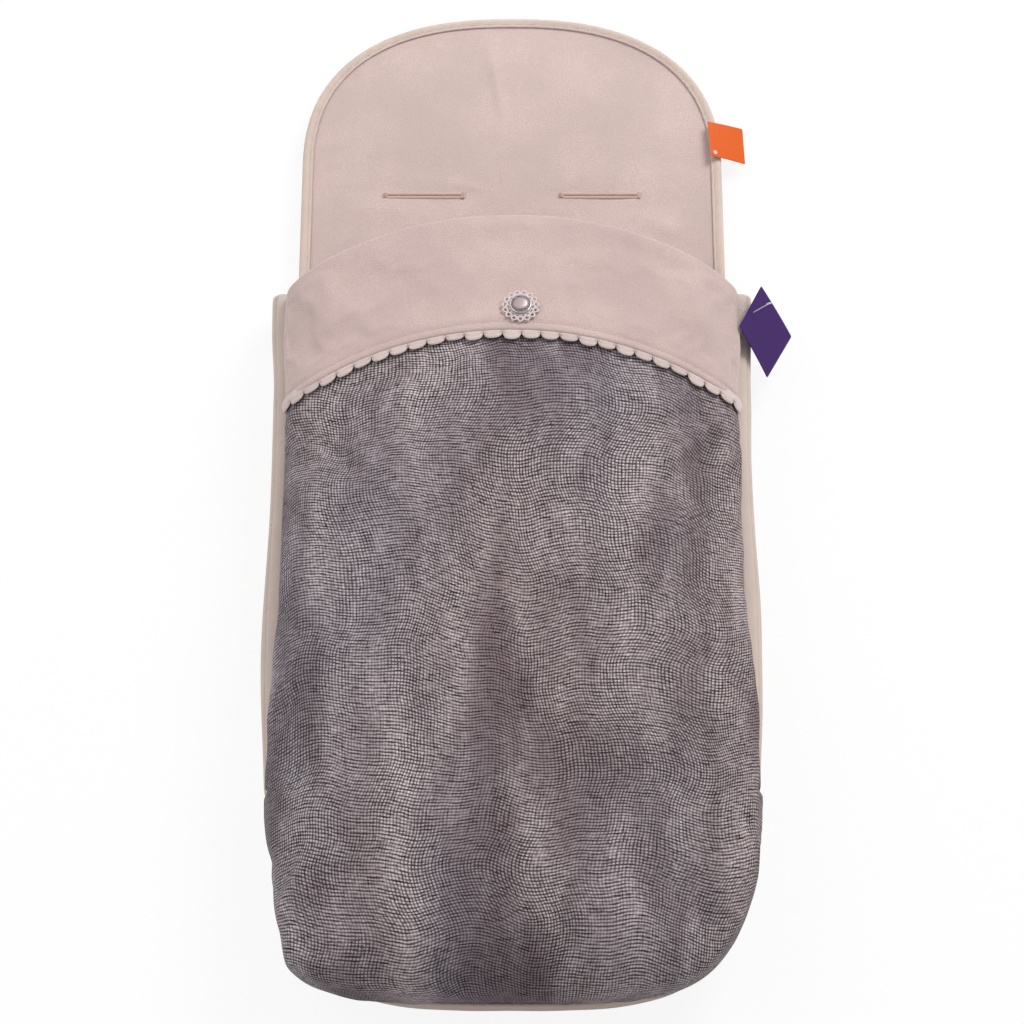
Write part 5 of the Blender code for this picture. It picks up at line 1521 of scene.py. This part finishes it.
def stones(count, from_middle, height, size, first):
    """Round-cut stones in a ring: an eight-sided girdle, a table above it and a point below."""
    turn = first + np.arange(count) * 2 * np.pi / count
    level = np.full(count, height)
    middle = np.stack([from_middle * np.cos(turn), from_middle * np.sin(turn), level], axis=-1)
    corner = np.arange(8) * np.pi / 4
    radius, up = size * STONE_PROFILE.T[..., None]
    stone = np.stack([radius * np.cos(corner), radius * np.sin(corner), up + 0 * corner], axis=-1)
    points = (middle[:, None, None] + stone[None]).reshape(-1, 3)
    table = np.arange(8)
    cells = copied(quads(ring_numbers(5, 8)), 40, count)
    cells += copied([table], 40, count) + copied([table[::-1] + 32], 40, count)
    return points, cells


STONE_ROWS = [
    (34, 0.0059, CAP_UP + 0.0035, 0.00050, 0.0),
    (38, 0.0067, CAP_UP + 0.0031, 0.00052, 0.08),
    (42, 0.0075, CAP_UP + 0.0028, 0.00052, 0.0),
]
stone_mesh = joined_mesh("cap_stones", [stones(*row) for row in STONE_ROWS])
piece("cap_stones", stone_mesh, STONE, "cuff")
print("button at", [round(float(v), 4) for v in BUTTON_MIDDLE])

# %% [markdown]
# Where the grey cloth meets the back panel at the foot it is sewn over a thin cord. The cord
# hides the edge and its small stitches pull the cloth into gathers. It is a tube along the toe
# box's lowest line. Its dark reddish brown is painted shade for the shadow in the gap under the
# cloth's edge.

# %% Foot seam
path = lifted(foot_arc(261), SEAT + 0.0006)
step = np.gradient(path, axis=0)
out = unit(np.stack([-step[:, 1], step[:, 0], 0 * step[:, 0]], axis=-1))
out *= np.sign((out[:, :2] * (path[:, :2] - [0, FOLD_Y])).sum(-1))[:, None]
turn = even_turn(10)[:, None]
thick = 0.0014 * (1 + 0.10 * np.sin(np.arange(261) * 1.9))[:, None, None]
spokes = np.cos(turn) * out[:, None] + np.sin(turn) * np.array([0, 0, 1.0])
shade_cord_mesh = outward(tube("foot_seam_shade_cord", path[:, None] + thick * spokes))
# The cord's dark reddish brown is painted shade: it stands for the shadow under the grey cloth's edge.
SEAM_SHADE_YARN = yarn("seam_shade_yarn", (0.200, 0.125, 0.115), 0.0008)
piece("foot_seam_shade_cord", shade_cord_mesh, SEAM_SHADE_YARN, "back")
print("foot seam", round(run_along(path)[-1], 3), "m")

# %% [markdown]
# Two swing tags hang from plastic fasteners. A real card is never quite flat, so each is a grid
# with a slight curl and rounded corners, cut through for its hole. Both are left bare, since
# only plain colour belongs on them here.

# %% Swing tags
CARD_WALL = 0.0006
CARD_ROUND = 0.0006
HOLE_RADIUS = 0.0015


def card_mesh(name, corner, edge, drop, width, length, hole, curl, twist):
    """A card from its hinge edge's middle: width along edge and length along drop. Its face rises
    by a parabola along the length and by a twist, its corners are rounded, and a ring of points
    is drawn to the rim of its round hole."""
    edge, drop = unit(np.asarray(edge, float)), np.asarray(drop, float)
    drop = unit(drop - edge * drop.dot(edge))
    face = np.cross(edge, -drop)
    u, v = np.meshgrid(np.linspace(-0.5, 0.5, 25), np.linspace(0, 1, 25), indexing="ij")
    x, y = u * width, v * length
    beyond_x = np.clip(np.abs(x) - (width / 2 - CARD_ROUND), 0, None)
    beyond_y = np.clip(np.maximum(CARD_ROUND - y, y - (length - CARD_ROUND)), 0, None)
    far = np.hypot(beyond_x, beyond_y)
    pull = np.where(far > CARD_ROUND, CARD_ROUND / np.maximum(far, 1e-9), 1)
    x = np.sign(x) * (np.abs(x) - beyond_x * (1 - pull))
    y = y - np.sign(y - length / 2) * beyond_y * (1 - pull)
    lift = curl * (1 - (v - 0.5) ** 2 * 4) * 0.5 + twist * u * (v - 0.5) * 2
    place = corner + x[..., None] * edge + y[..., None] * drop + lift[..., None] * face
    mesh = sheet(name, place)
    shape = bmesh.new()
    shape.from_mesh(mesh)
    centre = Vector(corner + hole[0] * edge - hole[1] * drop)
    inside = [f for f in shape.faces if (f.calc_center_median() - centre).length < HOLE_RADIUS]
    bmesh.ops.delete(shape, geom=inside, context="FACES")
    for vert in {v for e in shape.edges if e.is_boundary for v in e.verts}:
        if (vert.co - centre).length < 2.2 * HOLE_RADIUS:
            vert.co = centre + (vert.co - centre).normalized() * HOLE_RADIUS
    shape.to_mesh(mesh)
    shape.free()
    return outward(mesh)


ORANGE_TURN, ORANGE_SLOPE = math.radians(-3.0), math.radians(28)
orange_edge = np.array([math.sin(ORANGE_TURN), math.cos(ORANGE_TURN), 0])
slope = math.cos(ORANGE_SLOPE)
orange_drop = np.array([orange_edge[1] * slope, -orange_edge[0] * slope, -math.sin(ORANGE_SLOPE)])
orange_at = np.array([BACK_HALF - 0.0083, 0.3245, BINDING_TOP + 0.0068])
orange_hole = (-0.018 + 0.0042, -0.0042)
mesh = card_mesh(
    "orange_swing_tag", orange_at, orange_edge, orange_drop,
    width=0.036, length=0.036, hole=orange_hole, curl=0.0010, twist=0.0012,
)
tag = piece("orange_swing_tag", mesh, ORANGE_CARD, "orange_tag")
walled(tag, CARD_WALL)
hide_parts("orange_tag")

purple_left, purple_top = np.array([0.1892, 0.1095, 0.0800]), np.array([0.2120, 0.1575, 0.0635])
purple_edge = purple_top - purple_left
purple_width = float(np.linalg.norm(purple_edge))
purple_drop = np.array([0.0285, -0.0244, -0.0427])
mesh = card_mesh(
    "purple_swing_tag", (purple_left + purple_top) / 2, purple_edge, purple_drop,
    width=purple_width, length=0.0568, hole=(0, -0.0048), curl=0.0012, twist=0.0015,
)
tag = piece("purple_swing_tag", mesh, PURPLE_CARD, "purple_tag")
walled(tag, CARD_WALL)
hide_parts("purple_tag")
print("two bare swing tags")

# %% [markdown]
# The zips, stops, sliders, pulls, stud and fasteners keep the shapes of the CAD model, where
# every tooth is modelled. Only their finishes change. A tape and its teeth are one solid, so they
# share a finish in the cream of the cloth.

# %% Finishes of the solids that stay
KEPT = {
    "zip_tape": ZIP, "top_stop": METAL, "bottom_stop": METAL, "slider": METAL, "pull_tab": METAL,
    "stud_socket": METAL, "press_stud": METAL, "orange_tag_barb": NYLON, "purple_tag_fastener": NYLON,
}
for name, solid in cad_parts.items():
    for start, finish in KEPT.items():
        if name.startswith(start):
            for place in solid.material_slots:
                place.material = finish.material
print(sum(name.startswith(tuple(KEPT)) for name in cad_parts), "solids kept")
